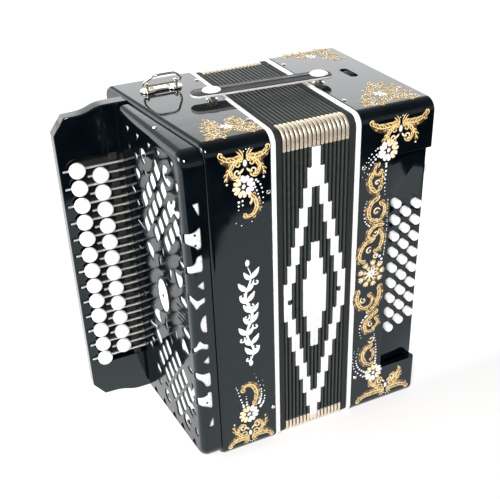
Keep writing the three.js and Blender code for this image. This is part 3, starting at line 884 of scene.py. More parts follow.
def strip_holes():
    """Openings of the cover's narrow front, for its lower half: x, and v below mid height.
    They end flat towards the casing, and the larger ones run round the corner to the side."""
    edge = STRIP_EDGE_X
    corner = -101.5
    return [softened(corners, 1, share) for share, corners in (
        (0.1, [(edge, 123.5), (-92.6, 123), (edge, 109.5)]),
        (0.16, [
            (edge, 101), (-91.5, 97), (corner, 94), (corner, 86), (-93, 82.5), (-90, 78.5), (edge, 79.5),
        ]),
        (0.16, [(edge, 73.5), (-91.5, 72), (-94, 65), (corner, 61), (corner, 54), (-94, 56), (edge, 55.5)]),
        (0.12, [(edge, 46.5), (-93.6, 42.5), (edge, 36)]),
        (0.16, [
            (corner, 35), (-94.5, 26.5), (edge, 29.5), (edge, 23), (-91.5, 21), (-95, 16.5), (-98, 24),
            (corner, 29),
        ]),
    )]


def half_round_hole():
    turns = [math.radians(90 + 180 * k / 12) for k in range(13)]
    return [(STRIP_EDGE_X + 6.4 * math.cos(a), COVER_MID_Z + 10 * math.sin(a)) for a in turns]


def anticlockwise(points):
    area = sum(u0 * v1 - u1 * v0 for (u0, v0), (u1, v1) in zip(points, points[1:] + points[:1]))
    return points if area > 0 else list(reversed(points))


def make_grille_cover():
    shape = Shape()
    rings = []
    for inset, depth in round_steps(COVER_ROUND, 6):
        rings.append([(side_x(y) + depth, y, z) for y, z in cover_outline(inset)])
    rings.append([(end_x(y) - 0.4, y, z) for y, z in cover_outline(0)])
    rings.append([(end_x(y) - 0.4, y, z) for y, z in cover_outline(COVER_WALL)])
    for inset, depth in reversed(round_steps(COVER_ROUND - COVER_WALL, 5)):
        rings.append([(side_x(y) + COVER_WALL + depth, y, z) for y, z in cover_outline(COVER_WALL + inset)])
    shape.loft(rings)
    cover = shape.piece("grille_shell", None, [LACQUER])
    side = Shape()
    for hole in side_holes():
        for sign in (1, -1):
            points = anticlockwise([(COVER_BACK_Y - u, COVER_MID_Z + sign * v) for u, v in hole])
            side.slab(points, -125, -96.4, 0, along_x)
    carve(cover, side)
    front = Shape()
    for hole in strip_holes():
        for sign in (1, -1):
            points = anticlockwise([(u, COVER_MID_Z + sign * v) for u, v in hole])
            front.slab(points, -104, -88.6, 0, along_y)
    front.slab(anticlockwise(half_round_hole()), -104, -91.4, 0, along_y)
    carve(cover, front)
    round_edges(cover, 0.3, 2, 55)
    mount(cover, "treble", "black_lacquer", "grille_cover")


def backing_plan(gap):
    """The backing's plan, gap behind the cover's inner face: along the side, then round to the front."""
    radius = COVER_ROUND - COVER_WALL - gap
    front = COVER_LOW.y + COVER_WALL + gap
    plan = [(side_x(y) + COVER_WALL + gap, y) for y in (COVER_BACK_Y - COVER_ROUND - 1.0, 0.0, -40.0)]
    for a in quarter(8):
        y = front + radius * (1 - math.sin(a))
        plan.append((side_x(y) + COVER_WALL + gap + radius * (1 - math.cos(a)), y))
    plan.append((-81.9, front))
    return plan


def make_grille_backing():
    """Silvery cloth stretched just inside the cover."""
    outer, inner = backing_plan(0.08), backing_plan(0.6)
    shape = Shape()
    shape.loft([[(x, y, z) for x, y in (*outer, *reversed(inner))] for z in (CLOTH_LOW, CLOTH_HIGH)])
    cloth = shape.piece("grille_cloth", "treble", [SILVER_CLOTH], "silver_cloth", ["grille_backing"])
    width = sum(math.dist(p, q) for p, q in zip(outer, outer[1:]))


def make_medallion():
    """An oval plaque in the middle of the cover, with a plain rosette instead of any mark."""
    y, z = COVER_BACK_Y - 76, COVER_MID_Z
    slope = -11.0 / 133

    def place(u, v, w):
        return (side_x(y) + slope * u - w, y + u, z + v)

    shape = Shape()
    rings = []
    for share, rise in (
        (1.0, -0.4), (1.0, 0.5), (0.95, 1.1), (0.88, 1.1), (0.84, 0.6), (0.8, 0.5), (0.4, 0.9), (0.05, 1.0),
    ):
        rings.append([
            place(13.6 * share * math.cos(a), 21.0 * share * math.sin(a), rise) for a in around(48)
        ])
    shape.loft(rings[:5], 0, caps=False)
    shape.loft(rings[4:], 1)
    petals = Brush(lambda u, v, w: place(u, v, w + 0.75), shape)
    for a in around(10):
        path = [(r * 0.62 * math.cos(a), r * math.sin(a)) for r in (3.5, 7, 10.5, 14)]
        petals.stroke(path, lambda t: 0.5 + 2.6 * math.sin(math.pi * min(t * 1.05, 1.0)), 0.5, 1, 0.1)
    Brush(lambda u, v, w: place(u, v, w + 0.5), shape).spot((0, 0), 2.4, 1.2, 0, 0.8)
    shape.piece("grille_medallion", "treble", [LACQUER, SILVER_CLOTH], "silver_cloth")


# ---- bellows -------------------------------------------------------------------------------


def band(x0, x1, inset, edge):
    """A frame that follows the casing outline from x0 to x1, with its outer rims rounded."""
    bore = 14
    shape = Shape()
    rings = [flat_ring(x0 + depth, inset + cut) for cut, depth in round_steps(edge, 3)]
    rings += [flat_ring(x1 - depth, inset + cut) for cut, depth in reversed(round_steps(edge, 3))]
    rings += [flat_ring(x1, bore), flat_ring(x0, bore)]
    shape.loft(rings, wrap=True)
    return shape


TRIM = 4.6


def make_bellows_frames():
    """Each frame: a white celluloid edge next to its casing and a dark cloth-bound strip beside it."""
    for side in ("treble", "bass"):
        low, high = box_mm(f"{side}_bellows_frame")
        trim_low, trim_high = (low.x, low.x + TRIM) if side == "treble" else (high.x - TRIM, high.x)
        strip_low, strip_high = (trim_high, high.x) if side == "treble" else (low.x, trim_low)
        trim = band(trim_low, trim_high, 0.0, 0.9)
        trim.piece(f"{side}_frame_trim", side, [CELLULOID], "white_trim", [f"{side}_bellows_frame"])
        strip = band(strip_low, strip_high, 1.6, 0.5)
        strip.piece(f"{side}_frame_strip", side, [FOLD_CLOTH], "bellows_cloth")


def ridge_x(i):
    """The x of fold i's ridge with the bellows closed."""
    return FIRST_FOLD_X + (i + 0.5) * PITCH


def spread_fold(obj):
    """Bakes the fold's placement into its mesh."""
    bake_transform(obj)


def carry_with_fold(obj):
    """Bakes the piece's placement into its mesh."""
    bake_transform(obj)


def make_fold(i):
    shape = Shape()
    x0 = FIRST_FOLD_X + i * PITCH
    x1 = x0 + PITCH
    middle = ridge_x(i)
    stations = (
        (x0 + 0.02, VALLEY_INSET), (middle - 0.9, RIDGE_INSET + 1.2), (middle, RIDGE_INSET + 0.7),
        (middle + 0.9, RIDGE_INSET + 1.2), (x1 - 0.02, VALLEY_INSET), (x1 - 0.02, VALLEY_INSET + 1.4),
        (middle, RIDGE_INSET + 2.6), (x0 + 0.02, VALLEY_INSET + 1.4),
    )
    shape.loft([flat_ring(x, inset) for x, inset in stations], wrap=True)
    fold = shape.piece(f"bellows_fold_{i + 1:02d}", None, [FOLD_CLOTH], "bellows_cloth", sharp=25)
    spread_fold(fold)
    return fold


TAPE_HALF = 0.95
DIAMOND_LOW, DIAMOND_HIGH = 10.4, 318.7
DIAMOND_UNITS = 16.2


def white_spans(i):
    """Where fold i's front ridge is white, as heights: two nested diamonds drawn in steps."""
    d = 7 - i if i <= 7 else i - 8
    spans = [(d, d + 2), (DIAMOND_UNITS - d - 2, DIAMOND_UNITS - d)]
    if d <= 2:
        spans.append((5 + d, DIAMOND_UNITS - 5 - d))
    if d == 7:
        spans = [(7, DIAMOND_UNITS - 7)]
    if d == 6:
        spans = [(6, 7.95), (8.25, DIAMOND_UNITS - 6)]
    unit = (DIAMOND_HIGH - DIAMOND_LOW) / DIAMOND_UNITS
    return [(DIAMOND_LOW + a * unit, DIAMOND_LOW + b * unit) for a, b in spans]


def ridge_cap(x, half, lift, drop):
    """The round-shouldered section of a tape folded over a ridge: (x, inset) pairs."""
    return [
        (x - half, RIDGE_INSET + drop), (x - half, RIDGE_INSET + 0.5 - lift),
        (x - half * 0.72, RIDGE_INSET + 0.08 - lift), (x, RIDGE_INSET - 0.05 - lift),
        (x + half * 0.72, RIDGE_INSET + 0.08 - lift), (x + half, RIDGE_INSET + 0.5 - lift),
        (x + half, RIDGE_INSET + drop),
    ]


def make_binding(i):
    """Cloth tape round the fold's ridge, with white lengths on the front."""
    x = ridge_x(i)
    shape = Shape()
    shape.loft([flat_ring(px, inset) for px, inset in ridge_cap(x, TAPE_HALF, 0.0, 2.2)], wrap=True)
    cap = ridge_cap(x, 2.05, 0.35, 1.2)
    for low, high in white_spans(i):
        rings = []
        for z, shrink in ((low, 0.3), (low + 0.25, 0.0), (high - 0.25, 0.0), (high, 0.3)):
            narrow = 1 - shrink * 0.1
            rings.append([(x + (px - x) * narrow, FRONT_Y + inset + shrink, z) for px, inset in cap])
        shape.loft(rings, 1)
    finishes = [TAPE_CLOTH, WHITE_TAPE]
    tape = shape.piece(f"bellows_binding_{i + 1:02d}", None, finishes, "bellows_cloth", sharp=50)
    carry_with_fold(tape)


CORNER_REACH = 17.0
UPPER_CORNER_REACH = 19.0


def corner_path(side_reach):
    """A corner guard's way from the side to the top or foot: distances in from either face."""
    radius = CORNER - RIDGE_INSET
    bend = [(radius * (1 - math.cos(a)), radius * (1 - math.sin(a))) for a in quarter(8)]
    first = [(0.0, side_reach), (0.0, (side_reach + radius) / 2)]
    return [*first, *bend, ((CORNER_REACH + radius) / 2, 0.0), (CORNER_REACH, 0.0)]


def make_corners(i):
    """Pressed metal guards over the fold's four corners."""
    shape = Shape()
    radius = CORNER - RIDGE_INSET
    cap = ridge_cap(ridge_x(i), 1.4, 0.0, 1.4)
    for front in (-1, 1):
        for top in (0, 1):
            path = corner_path(UPPER_CORNER_REACH if top else CORNER_REACH)
            rings = []
            for n, (du, dv) in enumerate(path):
                across = Vector((max(radius - du, 0.0), max(radius - dv, 0.0))).normalized()
                lift = 0.0 if n in (0, len(path) - 1) else 0.45
                ring = []
                for px, inset in cap:
                    depth = inset - RIDGE_INSET - lift
                    u = du + across.x * depth + RIDGE_INSET
                    v = dv + across.y * depth + RIDGE_INSET
                    ring.append((px, front * (HALF_DEPTH - u), HEIGHT - v if top else v))
                rings.append(ring)
            shape.loft(rings)
    guards = shape.piece(f"bellows_corners_{i + 1:02d}", None, [CORNER_METAL], "nickel", sharp=50)
    carry_with_fold(guards)


def make_bellows():
    """Sixteen folds, each with its tape binding and corner guards, in place of the five CAD stretches."""
    first_of = {0: 1, 3: 2, 6: 3, 10: 4, 13: 5}
    for i in range(FOLDS):
        fold = make_fold(i)
        make_binding(i)
        make_corners(i)
        if i in first_of:
            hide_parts(f"bellows_folds_{first_of[i]}")


# ---- bass side -----------------------------------------------------------------------------


def make_bass_casing():
    shape = Shape()
    low, high = BASS_LOW.x, BASS_HIGH.x
    rings = [flat_ring(low, WALL), flat_ring(low, 0.5), flat_ring(low + 0.5, 0)]
    rings += [flat_ring(high - depth, inset) for inset, depth in reversed(round_steps(3.0, 5))]
    rings += [flat_ring(high, WALL), flat_ring(103, WALL)]
    rings += [flat_ring(103, WALL + 30), flat_ring(100, WALL + 30), flat_ring(100, WALL)]
    shape.loft(rings, 0, wrap=True)
    shell = shape.piece("bass_shell", None, [LACQUER, NICKEL])
    tools = Shape()
    r = BASS_RECESS
    block(tools, r["x"], high + 5, FRONT_Y - 2, r["floor"] + 4, r["low"], r["high"])
    x, y, _ = ADJUSTER
    slot = rounded_rect(x - 4.5, y - 13.5, x + 4.5, y + 13.5, 4.4, 6)
    tools.slab(slot, 330, 345, 0, along_z)
    carve(shell, tools)
    round_edges(shell, 0.7, 3)
    mount(shell, "bass", "black_lacquer", "bass_casing")
    post = Shape()
    stud(post, BASS_STUD, 0)
    post.piece("bass_strap_stud", "bass", [NICKEL], "nickel")


def make_partition():
    """The board that closes the air chamber inside the bass casing."""
    shape = Shape()
    y = HALF_DEPTH - WALL - 0.1
    outline = rounded_rect(-y, WALL + 0.1, y, HEIGHT - WALL - 0.1, 6, 6)
    shape.slab(outline, 100.2, 102.8, 0.2, along_x)
    shape.piece("bass_partition", "bass", [SPRUCE], "spruce")


def screw(shape, place, radius, finish, rise=0.8):
    """A domed screw head."""
    profile = ((radius, -0.3), (radius, rise * 0.3), (radius * 0.8, rise * 0.8), (radius * 0.15, rise))
    shape.turned(profile, place, finish, 20)


def make_bass_end():
    shape = Shape()
    edge = HALF_DEPTH - WALL - 0.3
    low, high = WALL + 0.3, HEIGHT - WALL - 0.3
    r = BASS_RECESS
    notch = -83.7
    outline = [
        (-edge + 4, low), (edge - 4, low), (edge, low + 4), (edge, high - 4), (edge - 4, high),
        (-edge + 4, high), (-edge, high - 4), (-edge, r["high"] + 0.3), (notch, r["high"] + 0.3),
        (notch, r["low"] - 0.3), (-edge, r["low"] - 0.3), (-edge, low + 4),
    ]
    shape.slab(outline, BASS_HIGH.x - 6, BASS_HIGH.x - 0.3, 0.8, along_x)
    shape.piece("bass_end_panel", "bass", [LACQUER], "black_lacquer", ["bass_end_cover"], even=True)
    feet = Shape()
    profile = ((5.5, -2), (5.5, 2.6), (5.0, 3.8), (3.8, 4.5), (1.6, 4.5), (1.4, 3.6), (0.3, 3.6))
    for y in (-84, 84):
        for z in (34, 324):
            feet.turned(profile, facing_end(BASS_HIGH.x, y, z), 0, 28)
    feet.piece("bass_feet", "bass", [LEATHER], "leather")
    screws = Shape()
    for y in (-60, 60):
        for z in (14, 170, 326):
            screw(screws, facing_end(BASS_HIGH.x - 0.3, y, z), 2.6, 0)
    screws.piece("bass_end_screws", "bass", [NICKEL], "nickel")


def bass_buttons():
    return [[(x, top - k * BASS_PITCH) for k in range(count)] for x, top, count in BASS_COLUMNS]


def make_bass_plate():
    """The dark plate that the bass buttons stand in."""
    r = BASS_RECESS
    outer = rounded_rect(r["x"] + 0.2, r["low"] + 0.2, BASS_HIGH.x - 0.3, r["high"] - 0.2, 0.5, 2)
    bores = [(x, z) for column in bass_buttons() for x, z in column]
    holes = [[polar(x, z, BASS_BUTTON_R + 0.8, a) for a in around(28)] for x, z in bores]
    plate = pierced("bass_plate", outer, holes, r["floor"], -84.3, 0.25, along_y, LACQUER)
    mount(plate, "bass", "black_lacquer", "bass_button_plate")


def make_bass_rows():
    first, second, third = bass_buttons()
    profile = (
        (BASS_BUTTON_R, 0), (BASS_BUTTON_R, 12.6), (BASS_BUTTON_R - 0.25, 13.3),
        (BASS_BUTTON_R - 0.9, 13.8), (BASS_BUTTON_R * 0.5, 14.0), (0.4, 14.05),
    )
    for k, start in enumerate(first):
        members = [start] if k == 0 else [start, second[k - 1], third[k - 1]]
        shape = Shape()
        for x, z in members:
            shape.turned(profile, facing_front(x, -80.5, z), 0, 32)
        x0, z0 = members[0]
        x1, z1 = (x0 + 8, z0 + 4) if k == 0 else members[2]
        bar = [(x0 - 2, z0 - 3), (x1 + 2, z1 - 3), (x1 + 2, z1 + 3), (x0 - 2, z0 + 3)]
        shape.slab(bar, -82.4, -79.2, 0.4, along_y, 1)
        body = f"bass_button_row_{k + 1}"
        shape.piece(f"bass_buttons_{k + 1}", body, [PEARL, STEEL], "pearl_keys", [body])


def make_air_button():
    y, z = AIR_BUTTON
    shape = Shape()
    cap = ((2.6, 0), (7.2, 0.2), (8.0, 0.9), (8.0, 2.4), (7.5, 3.2), (6.4, 3.7), (3.2, 3.5), (0.4, 3.45))
    shape.turned(cap, facing_end(152.2, y, z), 0, 40)
    shape.turned(((2.5, 0), (2.5, 16.4)), facing_end(136, y, z), 1, 20)
    shape.turned(((6, 0.2), (6, 2.8)), facing_end(134, y, z), 1, 24)
    shape.piece("air_button_cap", "air_button", [PEARL, NICKEL], "pearl_keys", ["air_button"])
    collar = Shape()
    ring = ((10.6, -0.2), (10.6, 0.4), (9.8, 1.3), (8.6, 1.3), (8.2, 0.9), (8.2, -0.2))
    collar.turned(ring, facing_end(BASS_HIGH.x - 0.3, y, z), 0, 36)
    collar.piece("air_button_collar", "bass", [NICKEL], "nickel")


def make_adjuster():
    """The strap's thumb wheel: a knurled disc on a pin, seen in its slot."""
    x, y, z = ADJUSTER
    shape = Shape()
    rings = []
    for dx, radius in ((-3.0, 4.0), (-3.0, 12.4), (-2.2, 13.6), (2.2, 13.6), (3.0, 12.4), (3.0, 4.0)):
        knurl = 0.4 if radius > 12 else 0.0
        rings.append([(x + dx, *polar(y, z, radius + knurl * (k % 2), a)) for k, a in enumerate(around(72))])
    shape.loft(rings)
    shape.turned(((2.4, -7.5), (2.4, 7.5)), facing_end(x, y, z), 0, 20)
    shape.piece("adjuster_wheel", "strap_adjuster", [DARK_STEEL], "nickel", ["strap_adjuster"], sharp=25)


def make_hand_strap():
    """A flat leather strap bowed over the bass end, stitched along both edges."""
    low, high = 14.0, HEIGHT - 14.0
    back_x = BASS_HIGH.x + 0.3
    bow = 168.0 - back_x

    def centre(s):
        return back_x + bow * math.sin(math.pi * s), low + (high - low) * s

    def section(s):
        x, z = centre(s)
        x1, z1 = centre(min(s + 0.001, 1.0))
        x0, z0 = centre(max(s - 0.001, 0.0))
        tangent = Vector((x1 - x0, z1 - z0)).normalized()
        normal = Vector((tangent.y, -tangent.x))
        swell = 0.8 * math.sin(math.pi * s) ** 0.5 if 0.12 < s < 0.88 else 0.0
        return [(x + normal.x * depth, y, z + normal.y * depth) for y, depth in (
            (-23, 0.9), (-22.6, 2.0), (-21.2, 2.4), (-19, 2.1), (-14, 2.5 + swell), (2, 2.7 + swell),
            (18, 2.5 + swell), (23, 2.1), (25.2, 2.4), (26.6, 2.0), (27, 0.9), (26.4, 0.1), (2, 0.0),
            (-22.4, 0.1),
        )]

    shape = Shape()
    shape.loft([section(k / 40) for k in range(41)])
    for y in (-19.6, 23.6):
        for k in range(68):
            s = 0.02 + 0.96 * k / 68
            x, z = centre(s)
            x1, z1 = centre(s + 0.008)
            lead = (z1 - z) * 0.2
            stitch = [(x + 2.15, y, z), (x + 2.5, y, z + lead), (x1 + 2.5, y, z1 - lead), (x1 + 2.15, y, z1)]
            shape.tube(stitch, 0.32, 1, 6)
    shape.piece("hand_strap_leather", "bass", [LEATHER, CUT_EDGE], "leather", ["hand_strap"], sharp=60)
    plates = Shape()
    for z in (19.0, HEIGHT - 19.0):
        outline = rounded_rect(-18, z - 4.5, 22, z + 4.5, 3, 5)
        plates.slab(outline, BASS_HIGH.x + 4.6, BASS_HIGH.x + 5.8, 0.4, along_x)
        for y in (-12, 16):
            screw(plates, facing_end(BASS_HIGH.x + 5.8, y, z), 2.4, 0)
    plates.piece("hand_strap_plates", "bass", [NICKEL], "nickel")


# ---- pieces on the top face ----------------------------------------------------------------


def make_bellows_strap():
    """A leather strap snapped to both casings, creased along its middle, with a pale cut edge."""
    start, end = Vector(TREBLE_STUD), Vector(BASS_STUD)
    along = (end - start).normalized()
    across = Vector((-along.y, along.x))
    length = (end - start).length
    half = 9.8
    base = HEIGHT + 6.0

    def place(u, v, w):
        point = start + along * u + across * v
        return (point.x, point.y, base + w)

    outline = [
        (-14.5, -half), (length + 8, -half), (length + 11.4, -half + 4.4), (length + 12, 0),
        (length + 11.4, half - 4.4), (length + 8, half), (-14.5, half), (-19.4, half - 5), (-20, 0),
        (-19.4, -half + 5),
    ]
    fine = softened(outline, 1, 0.12)
    core = ((0.3, 0.0), (0, 0.3), (0, 2.1))
    face = ((0.05, 2.0), (0.1, 2.7), (0.8, 3.1), (2.0, 3.1), (2.4, 2.85), (3.0, 3.15))
    shape = Shape()
    for steps, finish in ((core, 1), (face, 0)):
        rings = [[place(u, v, rise) for u, v in inset_outline(fine, inset)] for inset, rise in steps]
        shape.loft(rings, finish)
    for side in (-1, 1):
        path = [place(u, side * 0.9, 3.2) for u in (2, length * 0.3, length * 0.6, length - 2)]
        shape.tube(path, 0.5, 0, 6)
    finishes = [LEATHER, CUT_EDGE]
    shape.piece("bellows_strap_leather", "bellows_strap", finishes, "leather", ["bellows_strap"], sharp=50)
    snaps = Shape()
    profile = ((8.8, 3.0), (8.8, 3.4), (8.0, 4.2), (5.6, 5.0), (2.6, 5.25), (0.4, 5.3))
    for u in (0.0, length):
        centre = place(u, 0, 0)
        snaps.turned(profile, facing_up(centre[0], centre[1], base), 0, 40)
    snaps.piece("strap_snaps", "bellows_strap", [PEARL], "pearl_keys")


def make_bracket():
    """The shoulder strap's bracket: a pressed plate with two lugs, screwed to the treble casing."""
    x, y = BRACKET_X, BRACKET_Y
    edge = [
        (22, 0), (17, 7.9), (-17, 7.9), (-22, 0), (-17, -7.9), (-10, -7), (-6, -4), (6, -4), (10, -7),
        (17, -7.9),
    ]
    outline = softened([(x + u, y + v) for u, v in edge], 2, 0.2)
    shape = Shape()
    shape.slab(outline, HEIGHT + 0.1, HEIGHT + 2.2, 0.7, along_z)
    lug = [
        (y - 3.5, HEIGHT + 1.5), (y + 3.5, HEIGHT + 1.5), (y + 3.2, PIN_Z + 1.6), (y + 1.7, PIN_Z + 3.0),
        (y - 1.7, PIN_Z + 3.0), (y - 3.2, PIN_Z + 1.6),
    ]
    for offset in (-14.5, 14.5):
        shape.slab(lug, x + offset - 1.4, x + offset + 1.4, 0.5, along_x)
    for u, v in ((-8.5, 3.5), (8.5, 3.5)):
        screw(shape, facing_up(x + u, y + v, HEIGHT + 2.2), 2.5, 0, 0.9)
    shape.piece("strap_bracket", "treble", [NICKEL], "nickel", ["shoulder_bracket"])


def make_bail():
    x, y = BRACKET_X, BRACKET_Y
    lean = math.radians(45)
    flat = [(-18.0, 0.0), (-18.5, 8.0), (-10.5, 20.0), (10.5, 20.0), (18.5, 8.0), (18.0, 0.0)]
    path = softened(flat, 2, 0.16)
    shape = Shape()
    points = [(x + u, y - v * math.sin(lean), PIN_Z + v * math.cos(lean)) for u, v in path]
    shape.tube(points, 1.15, 0, 12, closed=True)
    shape.piece("strap_bail", "shoulder_bail", [NICKEL], "nickel", ["shoulder_bail"])


def make_pins():
    """Bright nails that hold the bellows frames, and the cover's screws."""
    nail = ((2.1, -0.3), (2.1, 0.2), (1.6, 0.8), (0.3, 1.0))
    for side, x, heights in (("treble", -22.7, (287, 45.6)), ("bass", 73.0, (288, 47.6))):
        shape = Shape()
        for z in heights:
            shape.turned(nail, facing_front(x, FRONT_Y, z), 0, 20)
            shape.turned(nail, facing_back(x, HALF_DEPTH, z), 0, 20)
        for y in (-60, 60):
            shape.turned(nail, facing_up(x, y, HEIGHT), 0, 20)
        shape.piece(f"{side}_frame_nails", side, [NICKEL], "nickel")
    screws = Shape()
    y = -28.0
    screw(screws, facing_up((side_x(y) + end_x(y)) / 2, y, COVER_HIGH.z), 2.0, 0, 1.2)
    for x, z in ((-91.4, 260.5), (-91.4, 250.5), (-91.0, 286.0), (-91.4, 85.5), (-91.4, 75.5), (-90.4, 52.0)):
        screw(screws, facing_front(x, -94.0, z), 1.3, 1, 0.6)
    screws.piece("cover_screws", "treble", [NICKEL, LACQUER], "nickel")


# ---- painted ornament ----------------------------------------------------------------------


def taper(width, start=0.25, end=0.12, peak=0.4):
    """A stroke's width: a rise to its full width at peak, then a fall to its tip."""

    def at(t):
        if t < peak:
            return width * (start + (1 - start) * math.sin(math.pi / 2 * t / peak))
        return width * (end + (1 - end) * math.cos(math.pi / 2 * (t - peak) / (1 - peak)))

    return at


TOOTH_STEP = 3.6
GOLDEN_ANGLE = 2.39996


class Brush:
    """Paints in low relief on one face of the object; place maps (u, v, rise) to it."""

    # Across a stroke: offset, rise and tone. The tone is painted shade at both edges and a painted highlight
    # on the crown, a little lighter on one side than the other.
    SECTION = ((-1, 0.0, 0.0), (-0.6, 0.75, 0.7), (0, 1.0, 1.0), (0.6, 0.75, 0.55), (1, 0.0, 0.0))
    SINK = -0.05

    def __init__(self, place, shape=None):
        self.place = place
        self.shape = shape or Shape()

    def piece(self, name, body):
        self.shape.piece(name, body, PAINTS, sharp=60)

    def stroke(self, path, width, height, finish=GOLD, tone=0.0):
        """A stroke along a flat path: width is a function of 0 to 1."""
        last = len(path) - 1
        rings, tones = [], []
        for i, (u, v) in enumerate(path):
            u0, v0 = path[max(i - 1, 0)]
            u1, v1 = path[min(i + 1, last)]
            length = math.hypot(u1 - u0, v1 - v0) or 1.0
            across = (-(v1 - v0) / length, (u1 - u0) / length)
            half = width(i / last) / 2
            rise = height * min(1.0, half / 0.5 + 0.3)
            rings.append([
                self.place(u + across[0] * half * s, v + across[1] * half * s, rise * h + self.SINK)
                for s, h, _ in self.SECTION
            ])
            tones += [min(1.0, max(0.0, t + tone)) for _, _, t in self.SECTION]
        self.shape.loft(rings, finish, tones=tones)

    def spot(self, centre, radius, height, finish, tone=0.0, stretch=1.0, turn=0.0):
        """A raised dot, round or oval."""
        cos, sin = math.cos(turn), math.sin(turn)
        rings, tones = [], []
        # The tone darkens towards the rim: painted shade at the dot's edge and a painted highlight on its
        # top.
        for share, rise in ((1.0, self.SINK), (0.8, 0.6), (0.35, 1.0)):
            ring = []
            for a in around(12):
                du, dv = radius * share * stretch * math.cos(a), radius * share * math.sin(a)
                at = (centre[0] + du * cos - dv * sin, centre[1] + du * sin + dv * cos)
                ring.append(self.place(*at, height * rise))
            rings.append(ring)
            tones += [min(1.0, max(0.0, tone - 0.5 * (1 - rise)))] * 12
        self.shape.loft(rings, finish, tones=tones)

    def leaf(self, base, angle, length, width, bend=0.0, finish=GOLD, tone=0.0, rise=0.4):
        """A leaflet from base, pointing at angle (radians), turning by bend over its length."""
        path = [base]
        for k in range(6):
            path.append(polar(*path[-1], length / 6, angle + bend * (k + 0.5) / 6))
        self.stroke(path, taper(width, 0.45, 0.1, 0.4), rise, finish, tone)

    def curl(self, centre, radius, start, sweep, width, finish=GOLD, tone=0.0):
        """A scroll that winds inwards from radius and ends in a knob."""
        steps = max(8, int(abs(sweep) / 20))
        shares = [k / steps for k in range(steps + 1)]
        path = [polar(*centre, radius * (1 - 0.72 * t), math.radians(start + sweep * t)) for t in shares]
        self.stroke(path, taper(width, 0.5, 0.45, 0.3), 0.45, finish, tone)
        self.spot(path[-1], width * 0.5, 0.45, finish, 0.9 + tone)

    def feather(self, points, width, length, side, scrolls=0.0, end_curl=True, finish=GOLD):
        """An acanthus leaf: a curved rib over a brown ground, with teeth that sweep off one side.
        side is 1 for teeth to the left of the rib and -1 for the right; scrolls sizes the curls opposite."""
        path = curve_through(points, 8)
        total = len(path) - 1
        reach = sum(math.dist(a, b) for a, b in zip(path, path[1:]))
        teeth = max(3, round(reach / TOOTH_STEP))
        self.stroke(path, taper(length * 1.2 + width, 0.6, 0.4, 0.5), 0.1, SHADE)
        for k in range(teeth):
            t = (k + 0.2) / teeth
            i = min(int(t * total), total - 1)
            (u, v), (u1, v1) = path[i], path[i + 1]
            heading = math.atan2(v1 - v, u1 - u)
            size = length * (0.7 + 0.4 * math.sin(math.pi * min(t + 0.12, 1.0)))
            tint = (0.2, -0.12)[k % 2]
            self.leaf((u, v), heading + side, size * 1.15, 1.7, -side, finish, tint, 0.42)
            if scrolls and k % 2:
                at = (u + math.sin(heading) * side * 1.9, v - math.cos(heading) * side * 1.9)
                start = math.degrees(heading) + 90 * side
                self.curl(at, 1.2 + scrolls * 1.6, start, side * 250, 1.3, finish, tint)
        self.stroke(path, taper(width * 0.7, 0.5, 0.3, 0.45), 0.5, finish, 0.25)
        if end_curl:
            (u0, v0), (u1, v1) = path[-2:]
            heading = math.atan2(v1 - v0, u1 - u0)
            centre = polar(u1, v1, width, heading + side * math.pi / 2)
            self.spot(centre, width * 1.25, 0.1, SHADE)
            start = math.degrees(heading) - side * 90
            self.curl(centre, width, start, side * 310, width * 0.55, finish, 0.3)

    def dots(self, points, count, first, last):
        """A row of white dots along a path, growing or shrinking."""
        path = curve_through(points, 12)
        for k in range(count):
            t = k / (count - 1)
            at = path[min(int(t * (len(path) - 1)), len(path) - 1)]
            self.spot(at, first + (last - first) * t, 0.3, WHITE, 1.0)

    def flower(self, centre, radius, kinds, turn):
        """Heart-shaped petals with dark gaps, about a white eye; kinds gives each petal's paint."""
        widths = (0.1, 0.3, 0.42, 0.4, 0.2)
        self.spot(centre, radius * 0.8, 0.1, SHADE)
        cu, cv = centre
        for kind, a in zip(kinds, around(len(kinds))):
            cos, sin = math.cos(turn + a), math.sin(turn + a)
            for side in (-1, 1):
                path = []
                for t, out in ((0.0, 0.02), (0.25, 0.1), (0.55, 0.19), (0.8, 0.2), (1.0, 0.13)):
                    along = radius * (0.34 + 0.62 * t)
                    across = side * radius * out
                    path.append((cu + along * cos - across * sin, cv + along * sin + across * cos))
                self.stroke(path, lambda t: radius * widths[min(int(round(t * 4)), 4)], 0.5, kind, 0.25)
        self.spot(centre, radius * 0.27, 0.3, SHADE)
        self.spot(centre, radius * 0.18, 0.8, WHITE, 1.0, 1.3, turn + 0.9)

    def crest(self, centre, up, left, right, arch):
        """The corner motif: two feathered wings over an arch of scrolls that frames a white drop.
        up is 1 where the wings lie above the arch and -1 where they lie below it."""
        cu, cv = centre

        def at(u, v):
            return (cu + u, cv + up * v)

